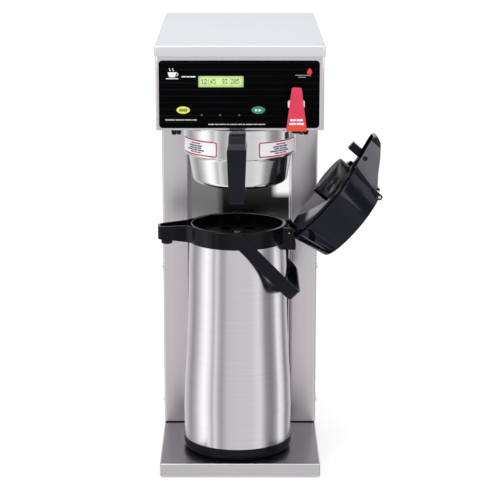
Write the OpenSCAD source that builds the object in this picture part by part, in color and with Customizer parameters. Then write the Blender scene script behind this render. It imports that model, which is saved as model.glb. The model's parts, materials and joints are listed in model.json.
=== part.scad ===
// Commercial single-airpot coffee brewer, with its brew funnel and a lever airpot.
// Millimetres, +Z up, the front faces -Y, +X is the viewer's right.
// The origin is the centre of the brewer's footprint, on the counter.

/* [Cabinet] */
// Width of the base, column and head
unit_w = 228.6; // [220:0.1:240]
// Depth of the base and head, front face to back panel
unit_d = 413; // [400:1:430]
// Height of the top cover above the counter
unit_h = 617; // [612:1:625]
// How far the rubber feet stand below the base pan
foot_h = 3; // [2:0.5:4]
// Height of the base pan's lip
base_lip = 18; // [16:1:20]
// Setback of the column's front behind the front edge of the base
column_setback = 184.5; // [182:0.5:190]
// Height of the head, from its underside to the top of the cover
head_h = 115; // [113:1:117]
// Height of the cover's lip
cover_lip = 14; // [12:1:16]
// Sheet thickness of the cabinet
sheet = 1.2; // [1:0.1:1.5]
// Width of the recess down the middle of the column
recess_w = 151; // [140:1:156]
// Depth of that recess
recess_depth = 14; // [10:1:16]

/* [Controls] */
// Width of the black control overlay
overlay_w = 218; // [210:1:222]
// Height of the control overlay
overlay_h = 92.5; // [88:0.5:95]
// Width of the display window
lcd_w = 61.5; // [56:0.5:66]
// Height of the display window
lcd_h = 15.5; // [14:0.5:18]
// Travel of the two push buttons
button_travel = 0.6; // [0.3:0.1:0.6]

/* [Faucet] */
// Faucet axis to the right of the centre line
faucet_x = 76; // [72:1:80]
// Width of the lever at its top
lever_top_w = 13; // [11:0.5:15]
// Width of the lever at its bottom
lever_bottom_w = 28; // [24:0.5:30]

/* [Funnel] */
// Outer radius of the funnel's upper band
funnel_r = 79.5; // [76:0.5:80]
// Outer radius at the top of the lower bowl
bowl_top_r = 72.5; // [70:0.5:74]
// Outer radius at the bottom of the lower bowl
bowl_bottom_r = 65; // [60:0.5:68]
// Wall thickness of the funnel
funnel_wall = 1; // [0.8:0.1:1.5]

/* [Airpot] */
// Airpot axis to the right of the centre line
airpot_x = -3.5; // [-5:0.5:0]
// Radius of the base ring
airpot_base_r = 78; // [76:0.5:79]
// Radius of the steel body under the collar
airpot_neck_r = 69; // [68:0.5:70]
// Outer radius of the collar
collar_r = 70; // [69:0.5:71]
// How far the lid is swung back from shut
lid_open = 131; // [125:0.5:133]
// How far the bail handle hangs below level
bail_drop = 45.5; // [44:0.5:47]
// Width of the bail handle's band
bail_w = 19; // [16:1:19]

/* [Hidden] */
$fn = 64;
eps = 0.01;
half_w = unit_w / 2;
half_d = unit_d / 2;
inner_w = half_w - sheet;
inner_d = half_d - sheet;
pan_z = foot_h;
pan_top = pan_z + base_lip;
head_z = unit_h - head_h;
cover_z = unit_h - cover_lip;
panel_top = unit_h - 5;
front_y = -half_d;
column_y = front_y + column_setback;
brew_y = -120;                  // axis of the funnel and the airpot
overlay_t = 1.5;
overlay_y = front_y - overlay_t;
overlay_z = head_z + 3;
overlay_x = -1;
lcd_x = -25.75;
lcd_z = 568.75;
led_x = [-52, -27, -1];
led_z = 523;
button_x = [-77, 25];
button_z = 530;
button_size = [18, 10];
board_y = -197.6;
spray_r = 25;
funnel_top = head_z - 2.5;
funnel_step = 452;
funnel_bottom = 414;
funnel_turn = -2.2;             // the funnel is seated slightly turned
rail_gap = 86.5;
rail_z = 492.7;
faucet_y = -222;
faucet_z = 528;
lever_pivot_z = 556;
tank_size = [190, 220, 84];
tank_y = 70;
tank_z = 514;
inlet_x = -45;
inlet_z = 60;
gland_x = 60;
gland_z = 50;
switch_x = 12;
switch_z = 52;
tube_r = 4;
valve_y = 170;
riser_y = 136;
airpot_z = pan_top + 0.2;
ring_top = 39;
collar_z = 329;
collar_top = 354;
nose_reach = 113.5;             // collar nose end, left of the airpot axis
nose_end_r = 13;
hinge_x = 69.5;
hinge_z = 345.5;
pin_r = 2.5;
bail_z = 346;
bail_reach = 115;
bail_t = 3.5;
bail_half = 74;                 // middle of each arm, from the airpot axis
lid_x = 4.5;                    // axis of the lid's tapered shell
lid_z = collar_top + 1;
lid_low_r = 70.5;
lid_high_r = 59.8;
lid_high = 409;
lid_wall = 3;
dome_r = 400;
dome_top = 414;
lever_hinge = [-52, 408];
bail_boss_r = 7.6;

steel = [0.78, 0.77, 0.78];
dark_steel = [0.6, 0.6, 0.61];
black = [0.14, 0.14, 0.17];
grey_plastic = [0.35, 0.35, 0.37];

// ---- helpers ----

// Points of an arc in the plane, from angle a0 to a1
function arc(cx, cy, r, a0, a1, n = 5) =
    [for (i = [0:n]) [cx + r * cos(a0 + (a1 - a0) * i / n), cy + r * sin(a0 + (a1 - a0) * i / n)]];

function reversed(list) = [for (i = [len(list) - 1:-1:0]) list[i]];
function mirrored(list) = reversed([for (p = list) [-p[0], p[1]]]);
function normal_of(a, b) = [a[1] - b[1], b[0] - a[0]] / norm(b - a);
function miter(path, i) =
    i == 0 ? normal_of(path[0], path[1])
    : i == len(path) - 1 ? normal_of(path[i - 1], path[i])
    : let (n1 = normal_of(path[i - 1], path[i]), n2 = normal_of(path[i], path[i + 1]))
        (n1 + n2) / (1 + n1 * n2);
function shifted(path, d) = [for (i = [0:len(path) - 1]) path[i] + d * miter(path, i)];

// A bent sheet: its middle line, thickness t and height h
module bent_sheet(path, t, h) {
    linear_extrude(h) polygon(concat(shifted(path, t / 2), reversed(shifted(path, -t / 2))));
}

// A box given by its lowest and highest corners
module block(low, high) {
    translate(low) cube(high - low);
}

// A cylinder along Y, from y0 to y1
module rod_y(x, z, r, y0, y1) {
    translate([x, y0, z]) rotate([-90, 0, 0]) cylinder(r = r, h = y1 - y0);
}

// A cylinder along X, from x0 to x1
module rod_x(y, z, r, x0, x1) {
    translate([x0, y, z]) rotate([0, 90, 0]) cylinder(r = r, h = x1 - x0);
}

// A hexagon along Y, such as a nut
module hex_y(x, z, r, y0, y1) {
    translate([x, y0, z]) rotate([-90, 0, 0]) cylinder(r = r, h = y1 - y0, $fn = 6);
}

module tube_z(x, y, r, bore, z0, z1) {
    difference() {
        translate([x, y, z0]) cylinder(r = r, h = z1 - z0);
        translate([x, y, z0 - 1]) cylinder(r = bore, h = z1 - z0 + 2);
    }
}

module tube_y(x, z, r, bore, y0, y1) {
    difference() {
        rod_y(x, z, r, y0, y1);
        rod_y(x, z, bore, y0 - 1, y1 + 1);
    }
}

// A rectangle with rounded corners, lying in the XZ plane, from y0 to y1
module rounded_plate_y(cx, cz, w, h, r, y0, y1) {
    outline = concat(arc(w / 2 - r, h / 2 - r, r, 0, 90), arc(r - w / 2, h / 2 - r, r, 90, 180),
        arc(r - w / 2, r - h / 2, r, 180, 270), arc(w / 2 - r, r - h / 2, r, 270, 360));
    translate([cx, y1, cz]) rotate([90, 0, 0]) linear_extrude(y1 - y0) polygon(outline);
}

// An oval lying in the XZ plane
module oval_y(x, z, size, y0, y1) {
    outline = [for (a = [0:10:350]) [size[0] / 2 * cos(a), size[1] / 2 * sin(a)]];
    translate([x, y1, z]) rotate([90, 0, 0]) linear_extrude(y1 - y0) polygon(outline);
}

// Places a child drawn with the lid shut into the open position
module lid_place() {
    translate([hinge_x, 0, hinge_z]) rotate([0, lid_open, 0]) translate([-hinge_x, 0, -hinge_z])
        children();
}

// ---- cabinet ----

foot_at = [for (x = [-90, 90], y = [-182, 182]) [x, y]];
foot_r = 13;
stud_r = 3;

module base_pan() {
    flange = 10;
    color(dark_steel) {
        difference() {
            block([-half_w, -half_d, pan_z], [half_w, half_d, pan_top]);
            block([-inner_w, -inner_d, pan_z + sheet], [inner_w, inner_d, pan_top - sheet]);
            block([-half_w + flange, -half_d + flange, pan_z - 1],
                [half_w - flange, half_d - flange, pan_z + sheet + 1]);
        }
        for (p = foot_at)
            translate([p[0], p[1], 8]) cylinder(r = stud_r, h = pan_top - sheet - 8 + eps);
    }
}

module feet() {
    color(black)
        for (p = foot_at)
            difference() {
                translate([p[0], p[1], 0]) cylinder(r = foot_r, h = pan_top - sheet);
                translate([p[0], p[1], 6]) cylinder(r = stud_r + 0.05, h = pan_top);
            }
}

module column_front_panel() {
    t = sheet / 2;
    side = half_w - t;
    face = column_y + t;
    edge = recess_w / 2 + t;
    back = column_y + recess_depth + t;
    half_path = concat([[-side, column_y + 20]], arc(-side + 3.4, face + 3.4, 3.4, 180, 270),
        arc(-edge - 2.4, face + 2.4, 2.4, 270, 360), arc(-edge + 4, back - 4, 4, 180, 90));
    color(steel)
        translate([0, 0, pan_top])
            bent_sheet(concat(half_path, mirrored(half_path)), sheet, head_z - pan_top);
}

screw_z = [49, 259];
screw_side_y = [8, 195];

module side_panel(side) {
    outline = [[front_y + 15.5, head_z], [front_y + 15.5, panel_top], [inner_d, panel_top],
        [inner_d, pan_top], [column_y + 20.5, pan_top], [column_y + 20.5, head_z]];
    color(steel)
        difference() {
            translate([side > 0 ? inner_w : -half_w, 0, 0])
                rotate([90, 0, 90]) linear_extrude(sheet) polygon(outline);
            for (y = screw_side_y, z = screw_z)
                rod_x(y, z, 2.1, side * half_w - 5, side * half_w + 5);
        }
}

module side_panel_left() {
    side_panel(-1);
}

module side_panel_right() {
    side_panel(1);
}

back_screw_at = [for (x = [-100, 100], z = [100, 330, 590]) [x, z]];
cover_screw_at = [for (x = [-60, 60]) [x, cover_z + 4.8]];

module back_panel() {
    color(steel)
        difference() {
            block([-half_w, inner_d, pan_top], [half_w, half_d, panel_top]);
            rod_y(inlet_x, inlet_z, 7.2, half_d - 5, half_d + 5);
            rod_y(gland_x, gland_z, 8.2, half_d - 5, half_d + 5);
            switch_block(14.4, 26.4, half_d - 5, half_d + 5);
            for (i = [-4:4], z = [380, 415, 450])
                block([i * 16 - 2, half_d - 5, z], [i * 16 + 2, half_d + 5, z + 25]);
            for (p = concat(back_screw_at, cover_screw_at))
                rod_y(p[0], p[1], 2.1, half_d - 5, half_d + 5);
        }
}

// An upright angle: one leg lies on a side panel, the other faces the front or the back
module frame_post(x_sign, y, turn) {
    leg = 20;
    t = 1.5;
    lip_y = turn > 0 ? y : y + leg - t;
    wall = x_sign * (inner_w - t / 2);
    lip = x_sign * (inner_w - leg / 2);
    color(dark_steel)
        difference() {
            union() {
                block([wall - t / 2, y, pan_top], [wall + t / 2, y + leg, head_z]);
                block([lip - leg / 2, lip_y, pan_top], [lip + leg / 2, lip_y + t, head_z]);
            }
            for (z = screw_z)
                rod_x(turn > 0 ? screw_side_y[0] : screw_side_y[1], z, 2.1, wall - 5, wall + 5);
            for (p = back_screw_at)
                rod_y(p[0], p[1], 2.1, inner_d - 15, half_d + 15);
        }
}

module frame_posts() {
    for (s = [-1, 1]) {
        frame_post(s, 0, 1);
        frame_post(s, inner_d - 20, -1);
    }
}

// A pan-head screw along an axis: the head stands proud of the panel
module screw(r, head_r, head_h, length) {
    cylinder(r = head_r, h = head_h);
    translate([0, 0, -length]) cylinder(r = r, h = length + eps);
}

module panel_screws() {
    color(steel) {
        for (s = [-1, 1], y = screw_side_y, z = screw_z)
            translate([s * half_w, y, z]) rotate([0, s * 90, 0]) screw(2, 4.2, 2.8, 6);
        for (p = back_screw_at)
            translate([p[0], half_d, p[1]]) rotate([-90, 0, 0]) screw(2, 4.2, 2.2, 6);
        for (p = cover_screw_at)
            translate([p[0], half_d + sheet, p[1]]) rotate([-90, 0, 0]) screw(1.8, 3.6, 2, 5);
    }
}

module head_bottom_panel() {
    color(steel)
        difference() {
            block([-inner_w, -inner_d, head_z], [inner_w, inner_d, head_z + sheet]);
            translate([0, brew_y, head_z - 1]) cylinder(r = spray_r + 0.5, h = 4);
            translate([inlet_x, riser_y, head_z - 1]) cylinder(r = tube_r + 0.6, h = 4);
        }
}

module head_front_frame() {
    t = sheet / 2;
    half_path = concat([[-half_w + t, front_y + 15]],
        arc(-half_w + t + 2.4, front_y + t + 2.4, 2.4, 180, 270));
    color(steel)
        difference() {
            translate([0, 0, head_z])
                bent_sheet(concat(half_path, mirrored(half_path)), sheet, panel_top - head_z);
            lcd_block(1.5, front_y - 2, front_y + 3);
            rod_y(faucet_x, faucet_z, 7, front_y - 2, front_y + 3);
            for (x = led_x)
                rod_y(x, led_z, 1.6, front_y - 2, front_y + 3);
            for (x = button_x)
                rod_y(x, button_z, 3.5, front_y - 2, front_y + 3);
        }
}

// A block the size of the display, wider by grow on every edge, from y0 to y1
module lcd_block(grow, y0, y1) {
    block([lcd_x - lcd_w / 2 - grow, y0, lcd_z - lcd_h / 2 - grow],
        [lcd_x + lcd_w / 2 + grow, y1, lcd_z + lcd_h / 2 + grow]);
}

module control_overlay() {
    color([0.03, 0.03, 0.03])
        difference() {
            rounded_plate_y(overlay_x, overlay_z + overlay_h / 2, overlay_w, overlay_h, 5,
                overlay_y, front_y);
            lcd_block(0, overlay_y - 2, front_y + 3);
            rod_y(faucet_x, faucet_z, 7.5, overlay_y - 2, front_y + 3);
            for (x = led_x)
                rod_y(x, led_z, 1.6, overlay_y - 2, front_y + 3);
            for (x = button_x)
                oval_y(x, button_z, button_size + [0.8, 0.8], overlay_y - 2, front_y + 3);
        }
}

module lcd_window() {
    color([0.7, 0.82, 0.5, 0.5])
        lcd_block(0, overlay_y + 0.2, front_y);
}

module lcd_module() {
    color([0.69, 0.8, 0.47])
        lcd_block(1, front_y + 0.1, board_y);
}

module control_board() {
    board_t = 1.6;
    color([0.1, 0.35, 0.2]) {
        block([-98, board_y, 510], [62, board_y + board_t, 592]);
        for (x = [-92, 55], z = [514, 588])
            rod_y(x, z, 3, -inner_d, board_y + eps);
        for (x = button_x)
            block([x - 3, -199.1, button_z - 3], [x + 3, board_y + eps, button_z + 3]);
        for (x = [-80, -50, -20])
            block([x, board_y + board_t - eps, 545], [x + 20, board_y + 18, 570]);
        block([20, board_y + board_t - eps, 530], [50, board_y + 14, 580]);
    }
}

module indicator_lights() {
    color([0.8, 0.8, 0.78])
        for (x = led_x)
            rod_y(x, led_z, 1.5, overlay_y - 0.3, board_y);
}

module top_cover() {
    t = sheet / 2;
    side = half_w + t;
    top = unit_h - t;
    reach = half_d + sheet;
    half_path = concat([[-side, cover_z]], arc(-side + 2.4, top - 2.4, 2.4, 180, 90));
    color([0.86, 0.88, 0.9])
        difference() {
            union() {
                translate([0, reach, 0]) rotate([90, 0, 0])
                    bent_sheet(concat(half_path, mirrored(half_path)), sheet, 2 * reach);
                block([-half_w, -reach, cover_z], [half_w, -half_d, unit_h - sheet + eps]);
                block([-half_w, half_d, cover_z], [half_w, reach, unit_h - sheet + eps]);
            }
            for (p = cover_screw_at)
                rod_y(p[0], p[1], 1.9, half_d - 2, half_d + 3);
        }
}

// ---- water path ----

module funnel_rails() {
    t = 1.5;
    front = -196;
    back = -30;
    color(steel)
        for (s = [0, 1])
            mirror([s, 0, 0]) {
                block([rail_gap, front, rail_z], [rail_gap + t, back, head_z]);
                block([81, front, rail_z], [rail_gap, back, rail_z + t]);
                block([70, back - t, rail_z], [rail_gap, back, head_z]);
            }
}

module rail_stops() {
    color(black)
        for (s = [0, 1])
            mirror([s, 0, 0]) block([rail_gap, -205, head_z - 6.5], [94, -196, head_z]);
}

module spray_head() {
    color(steel)
        difference() {
            union() {
                translate([0, brew_y, head_z - 2]) cylinder(r = spray_r, h = 8);
                translate([0, brew_y, head_z + 5]) cylinder(r = 9, h = 11);
                translate([0, brew_y, head_z + sheet]) cylinder(r = spray_r + 4, h = 2);
            }
            translate([0, brew_y, head_z - 0.5]) cylinder(r = spray_r - 2, h = 5);
            translate([0, brew_y, head_z + 3]) cylinder(r = 5, h = 20);
            translate([0, brew_y, head_z - 3])
                for (ring = [[6, 6], [12, 12], [16, 19]], i = [0:ring[0] - 1])
                    rotate([0, 0, 360 * i / ring[0]]) translate([ring[1], 0, 0])
                        cylinder(r = 1.25, h = 4);
        }
}

module dispense_valve() {
    base = head_z + 16;
    color([0.75, 0.6, 0.3])
        difference() {
            union() {
                block([-16, brew_y - 16, base], [16, brew_y + 16, base + 26]);
                translate([0, brew_y, base + 26 - eps]) cylinder(r = 15, h = 34);
            }
            translate([0, brew_y, base - 1]) cylinder(r = 5, h = 14);
            rod_y(0, base + 10, 5, brew_y, brew_y + 20);
        }
}

tank_low = [-tank_size[0] / 2, tank_y - tank_size[1] / 2, tank_z];
tank_high = [tank_size[0] / 2, tank_y + tank_size[1] / 2, tank_z + tank_size[2]];
tank_wall = 1.5;
rim = 8;
element_z = 540;
outlet_z = head_z + 26;

module tank() {
    w = tank_wall;
    color(steel)
        difference() {
            union() {
                block(tank_low, tank_high);
                tank_rim_plate(tank_high[2] - w, w);
                for (x = [-80, 80])
                    block([x - 5, tank_low[1] + 10, head_z + sheet],
                        [x + 5, tank_high[1] - 10, tank_z + eps]);
            }
            block(tank_low + [w, w, w], tank_high - [w, w, -1]);
            rod_y(0, outlet_z, 5, tank_low[1] - 2, tank_low[1] + 4);
            rod_y(faucet_x, faucet_z, 3, tank_low[1] - 2, tank_low[1] + 4);
            translate([inlet_x, riser_y, tank_z - 1]) cylinder(r = 3, h = 4);
            for (x = [-25, 25])
                rod_y(x, element_z, 4.1, tank_high[1] - 4, tank_high[1] + 2);
        }
}

module tank_rim_plate(z, t) {
    block([tank_low[0] - rim, tank_low[1] - rim, z],
        [tank_high[0] + rim, tank_high[1] + rim, z + t]);
}

module tank_gasket() {
    color([0.7, 0.25, 0.2])
        difference() {
            tank_rim_plate(tank_high[2], 2);
            block(tank_low, tank_high + [0, 0, 10]);
        }
}

temperature_at = [40, 90];
level_at = [-40, 60];

module tank_lid() {
    color(steel)
        difference() {
            tank_rim_plate(tank_high[2] + 2, 1.5);
            translate([temperature_at[0], temperature_at[1], tank_high[2]]) cylinder(r = 4.1, h = 6);
            translate([level_at[0], level_at[1], tank_high[2]]) cylinder(r = 4.1, h = 6);
        }
}

module heating_element() {
    color([0.55, 0.5, 0.45]) {
        for (x = [-25, 25]) {
            rod_y(x, element_z, 4, 20, tank_high[1] + 8);
            hex_y(x, element_z, 8, tank_high[1], tank_high[1] + 6);
        }
        translate([0, 20, element_z]) rotate([0, 0, 180])
            rotate_extrude(angle = 180) translate([25, 0]) circle(r = 4);
    }
}

module temperature_probe() {
    color(steel)
        translate([temperature_at[0], temperature_at[1], 0]) {
            translate([0, 0, 536]) cylinder(r = 3, h = 64);
            translate([0, 0, tank_high[2] + 1]) cylinder(r = 4, h = 5);
            translate([0, 0, tank_high[2] + 3.5]) cylinder(r = 8, h = 6, $fn = 6);
        }
}

module level_probe() {
    color(steel)
        translate([level_at[0], level_at[1], 0]) {
            translate([0, 0, 575]) cylinder(r = 2, h = 26);
            translate([0, 0, tank_high[2] + 1]) cylinder(r = 4, h = 5);
            translate([0, 0, tank_high[2] + 3.5]) cylinder(r = 8, h = 7, $fn = 6);
        }
}

module limit_thermostat() {
    color(black) {
        rod_x(120, 560, 12, tank_high[0], tank_high[0] + 9);
        block([tank_high[0], 104, 557], [tank_high[0] + 1.5, 136, 563]);
    }
}

module inlet_valve() {
    half = 14;
    color([0.85, 0.83, 0.75])
        difference() {
            union() {
                block([inlet_x - half, valve_y - 20, inlet_z - half],
                    [inlet_x + half, 189, inlet_z + half]);
                translate([inlet_x, valve_y, inlet_z + half - eps]) cylinder(r = 13, h = 34);
                for (x = [inlet_x - 9, inlet_x + 9])
                    block([x - 3, 188, inlet_z + half - 8], [x + 3, inner_d, inlet_z + half]);
            }
            rod_y(inlet_x, inlet_z, 3, valve_y - 25, 195);
        }
}

module inlet_fitting() {
    color([0.8, 0.65, 0.3])
        difference() {
            union() {
                rod_y(inlet_x, inlet_z, 7, 189, half_d + eps);
                hex_y(inlet_x, inlet_z, 10.5, half_d, half_d + 5);
                rod_y(inlet_x, inlet_z, 5.56, half_d + 5 - eps, half_d + 17);
            }
            rod_y(inlet_x, inlet_z, 3, 180, half_d + 20);
        }
}

module water_tubes() {
    bend = 10;
    base = head_z + 16;
    color([0.75, 0.5, 0.35]) {
        difference() {
            union() {
                rod_y(inlet_x, inlet_z, tube_r, riser_y + bend, valve_y - 20);
                translate([inlet_x, riser_y + bend, inlet_z + bend])
                    rotate([0, 0, 90]) rotate([90, 0, 0]) rotate([0, 0, 180])
                        rotate_extrude(angle = 90) translate([bend, 0]) circle(r = tube_r);
                translate([inlet_x, riser_y, inlet_z + bend])
                    cylinder(r = tube_r, h = tank_z - inlet_z - bend);
            }
            translate([inlet_x, riser_y, inlet_z + bend + 1]) cylinder(r = tube_r - 1, h = tank_z);
        }
        tube_y(0, outlet_z, 8, 5, brew_y + 16, tank_low[1]);
        tube_y(faucet_x, faucet_z, 5, 3, -186, tank_low[1]);
    }
}

module terminal_block() {
    color([0.9, 0.88, 0.8])
        difference() {
            block([-30, inner_d - 16, 140], [30, inner_d, 165]);
            for (x = [-20, 0, 20])
                rod_y(x, 152.5, 3.5, inner_d - 20, inner_d - 6);
        }
}

rocker_y = half_d - 5;

// A block centred on the switch, from y0 to y1
module switch_block(w, h, y0, y1) {
    block([switch_x - w / 2, y0, switch_z - h / 2], [switch_x + w / 2, y1, switch_z + h / 2]);
}

module switch_body() {
    color(black)
        difference() {
            union() {
                switch_block(14, 26, half_d - 24, half_d);
                switch_block(18, 30, half_d, half_d + 2);
            }
            switch_block(10.4, 21, half_d - 16, half_d + 4);
        }
}

module power_rocker() {
    tilt = 12;
    color([0.75, 0.12, 0.1])
        translate([switch_x - 4.9, rocker_y, switch_z]) rotate([tilt, 0, 0])
            rotate([90, 0, 90]) linear_extrude(9.8)
                polygon([[0, -7], [5.5, -8.8], [6.6, 0], [5.5, 8.8], [0, 7], [-4, 0]]);
    color("silver")
        rod_x(rocker_y, switch_z, 1.2, switch_x - 5.1, switch_x + 5.1);
}

module cord_gland() {
    color(black)
        difference() {
            union() {
                rod_y(gland_x, gland_z, 8, 199, half_d + eps);
                hex_y(gland_x, gland_z, 12, half_d, half_d + 6);
                rod_y(gland_x, gland_z, 9.5, half_d + 6 - eps, half_d + 15);
                hex_y(gland_x, gland_z, 12, inner_d - 6, inner_d);
            }
            rod_y(gland_x, gland_z, 5.2, 190, half_d + 30);
        }
}

// ---- hot-water faucet ----

module faucet_body() {
    color(black)
        difference() {
            union() {
                rod_y(faucet_x, faucet_z, 6.5, faucet_y, -186);
                hex_y(faucet_x, faucet_z, 11, -inner_d, -199);
                translate([faucet_x, faucet_y, 512]) cylinder(r = 8.5, h = 24);
                translate([faucet_x, faucet_y, 501]) cylinder(r = 6, h = 11.5);
            }
            translate([faucet_x, faucet_y, 498]) cylinder(r = 4.6, h = 40);
            rod_y(faucet_x, faucet_z, 3, faucet_y, -180);
        }
}

module faucet_bonnet() {
    color([0.93, 0.91, 0.85])
        difference() {
            union() {
                translate([faucet_x, faucet_y, 536]) cylinder(r = 11.5, h = 9);
                for (x = [faucet_x - 4.15, faucet_x + 4.15])
                    block([x - 1.35, faucet_y - 4, 544], [x + 1.35, faucet_y + 4, 560]);
            }
            translate([faucet_x, faucet_y, 530]) cylinder(r = 2.6, h = 20);
            rod_x(faucet_y, lever_pivot_z, 1.75, faucet_x - 10, faucet_x + 10);
        }
}

module faucet_pin() {
    color("silver") rod_x(faucet_y, lever_pivot_z, 1.75, faucet_x - 5.5, faucet_x + 5.5);
}

module faucet_stem() {
    color("silver") {
        translate([faucet_x, faucet_y, 518]) cylinder(r = 2.5, h = 29.5);
        translate([faucet_x, faucet_y, 516]) cylinder(r = 4.2, h = 4);
    }
}

module faucet_lever() {
    front = faucet_y - 17;
    thick = 3.5;
    low = 506;
    high = 565;
    color([0.92, 0.23, 0.28])
        difference() {
            union() {
                translate([faucet_x, front + thick, 0]) rotate([90, 0, 0]) linear_extrude(thick)
                    polygon([[-lever_bottom_w / 2, low], [lever_bottom_w / 2, low],
                        [lever_top_w / 2, high - 2], [lever_top_w / 2 - 2, high],
                        [2 - lever_top_w / 2, high], [-lever_top_w / 2, high - 2]]);
                block([faucet_x - 2.5, front + thick - eps, 551], [faucet_x + 2.5, faucet_y, 561]);
                rod_x(faucet_y, lever_pivot_z, 5, faucet_x - 2.5, faucet_x + 2.5);
            }
            rod_x(faucet_y, lever_pivot_z, 1.8, faucet_x - 10, faucet_x + 10);
        }
}

module push_button(x, tint) {
    color(tint) {
        oval_y(x, button_z, button_size, overlay_y - 1.2, front_y - 0.3 - button_travel);
        rod_y(x, button_z, 3, front_y - 0.4 - button_travel, -199.1 - 0.3 - button_travel);
    }
}

module button_yellow() {
    push_button(button_x[0], [0.88, 0.88, 0.31]);
}

module button_green() {
    push_button(button_x[1], [0.14, 0.55, 0.39]);
}

// ---- brew funnel ----

// Turns a child drawn square to the brewer with the seated funnel
module funnel_seat() {
    translate([0, brew_y, 0]) rotate([0, 0, funnel_turn]) translate([0, -brew_y, 0]) children();
}

module brew_funnel() {
    w = funnel_wall;
    s = funnel_step;
    b = funnel_bottom;
    outer = [[funnel_r, funnel_top], [funnel_r, s + 3], [funnel_r - 1.5, s], [bowl_top_r, s - 1],
        [bowl_bottom_r + 2, b + 9], [bowl_bottom_r - 4, b + 2], [bowl_bottom_r - 12, b],
        [9, b - 3], [9, b - 12]];
    inner = [[9 - w, b - 12], [9 - w, b - 3 + w], [bowl_bottom_r - 12, b + w],
        [bowl_bottom_r - 4 - w, b + 2 + w],
        [bowl_bottom_r + 2 - w, b + 9], [bowl_top_r - w, s - 1 + w], [funnel_r - 1.5 - w, s + w],
        [funnel_r - w, s + 3], [funnel_r - w, funnel_top]];
    color(steel)
        difference() {
            union() {
                translate([0, brew_y, 0]) rotate_extrude() polygon(concat(outer, inner));
                intersection() {
                    difference() {
                        translate([0, brew_y, 494.5]) cylinder(r = 84, h = 2);
                        translate([0, brew_y, 490]) cylinder(r = funnel_r - w / 2, h = 10);
                    }
                    union() {
                        block([60, brew_y - 60, 490], [90, brew_y + 60, 500]);
                        block([-90, brew_y - 60, 490], [-60, brew_y + 60, 500]);
                    }
                }
            }
            funnel_seat()
                for (x = [-7, 7])
                    rod_y(x, 488, 2.1, -205, -190);
        }
}

module funnel_handle() {
    front = -240;
    grip_t = 14;
    right_side = [[8.5, 405], [10.5, 408], [13.35, 480], [11, 487]];
    color(black)
        funnel_seat() difference() {
            union() {
                translate([0, front + grip_t, 0]) rotate([90, 0, 0]) linear_extrude(grip_t)
                    polygon(concat(right_side, mirrored(right_side)));
                block([-11.5, front + grip_t - eps, 479], [11.5, brew_y - 75, 497]);
            }
            translate([0, brew_y, 470]) cylinder(r = funnel_r + 0.02, h = 40);
            for (x = [-7, 7])
                rod_y(x, 488, 2, -230, -190);
        }
}

module handle_screws() {
    color("silver")
        funnel_seat() for (x = [-7, 7]) {
            rod_y(x, 488, 2, -218, -195);
            rod_y(x, 488, 4, -197.2, -194.6);
        }
}

module funnel_label(angle) {
    span = 54;
    color([0.92, 0.92, 0.93])
        translate([0, brew_y, 457.5]) rotate([0, 0, angle - span / 2]) rotate_extrude(angle = span)
            translate([funnel_r, 0]) square([0.3, 22]);
}

module funnel_labels() {
    funnel_label(funnel_turn - 90 - 48);
    funnel_label(funnel_turn - 90 + 48);
}

module wire_basket() {
    top_r = 71;
    low_r = 56;
    top_z = 488;
    low_z = funnel_bottom + 4.2;
    ring_wire = 1.6;
    rib_wire = 1.1;
    count = 12;
    lean = atan((top_r - low_r) / (top_z - low_z));
    length = (top_z - low_z) / cos(lean);
    color("silver")
        translate([0, brew_y, 0]) {
            for (ring = [[top_r, top_z], [low_r, low_z], [low_r / 2, low_z]])
                translate([0, 0, ring[1]]) rotate_extrude() translate([ring[0], 0]) circle(r = ring_wire);
            for (i = [0:count - 1])
                rotate([0, 0, 360 * i / count + 15]) translate([low_r, 0, low_z]) rotate([0, lean, 0])
                    cylinder(r = rib_wire, h = length);
            for (i = [0:count / 2 - 1])
                rotate([0, 0, 720 * i / count + 30]) translate([low_r / 2, 0, low_z])
                    rotate([0, 90, 0]) cylinder(r = rib_wire, h = low_r / 2);
        }
}

// ---- airpot ----

module on_airpot() {
    translate([airpot_x, brew_y, 0]) children();
}

module airpot_base_ring() {
    r = airpot_base_r;
    color(black)
        on_airpot() rotate_extrude()
            polygon([[0, airpot_z], [r - 5, airpot_z], [r - 1.5, airpot_z + 4], [r, airpot_z + 9],
                [r, ring_top], [r - 4, ring_top], [r - 4, airpot_z + 4], [0, airpot_z + 4]]);
}

module airpot_body() {
    t = 1;
    outer = [[airpot_base_r - 0.4, ring_top], [airpot_base_r - 0.2, 85], [74.4, 159],
        [71.2, 233], [70.1, 293], [airpot_neck_r, 318], [airpot_neck_r, collar_z]];
    color(steel)
        on_airpot() rotate_extrude() polygon(concat(outer, reversed([for (p = outer) p - [t, 0]])));
}

mouth_r = 64;
ledge_z = 341;

// The collar's nose seen from above: it flares from its round end into the collar's wall
module nose_outline(inset) {
    x = nose_end_r - nose_reach;
    side = [[x, nose_end_r - inset], [-72, 21.5 - inset], [-61, 31.5 - inset], [-46, 46 - inset],
        [10, 46 - inset]];
    polygon(concat(reversed(side), arc(x, 0, nose_end_r - inset, 100, 260, 10),
        [for (q = side) [q[0], -q[1]]]));
}

// Side view of the nose: its top and underside both slope a little to the end
module nose_slab(low, high) {
    drop = 4;
    on_airpot() translate([0, 50, 0]) rotate([90, 0, 0]) linear_extrude(100)
        polygon([[20, low], [-76, low], [-nose_reach - 1, low + drop / 2],
            [-nose_reach - 1, high - drop], [-66, high], [20, high]]);
}

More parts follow.
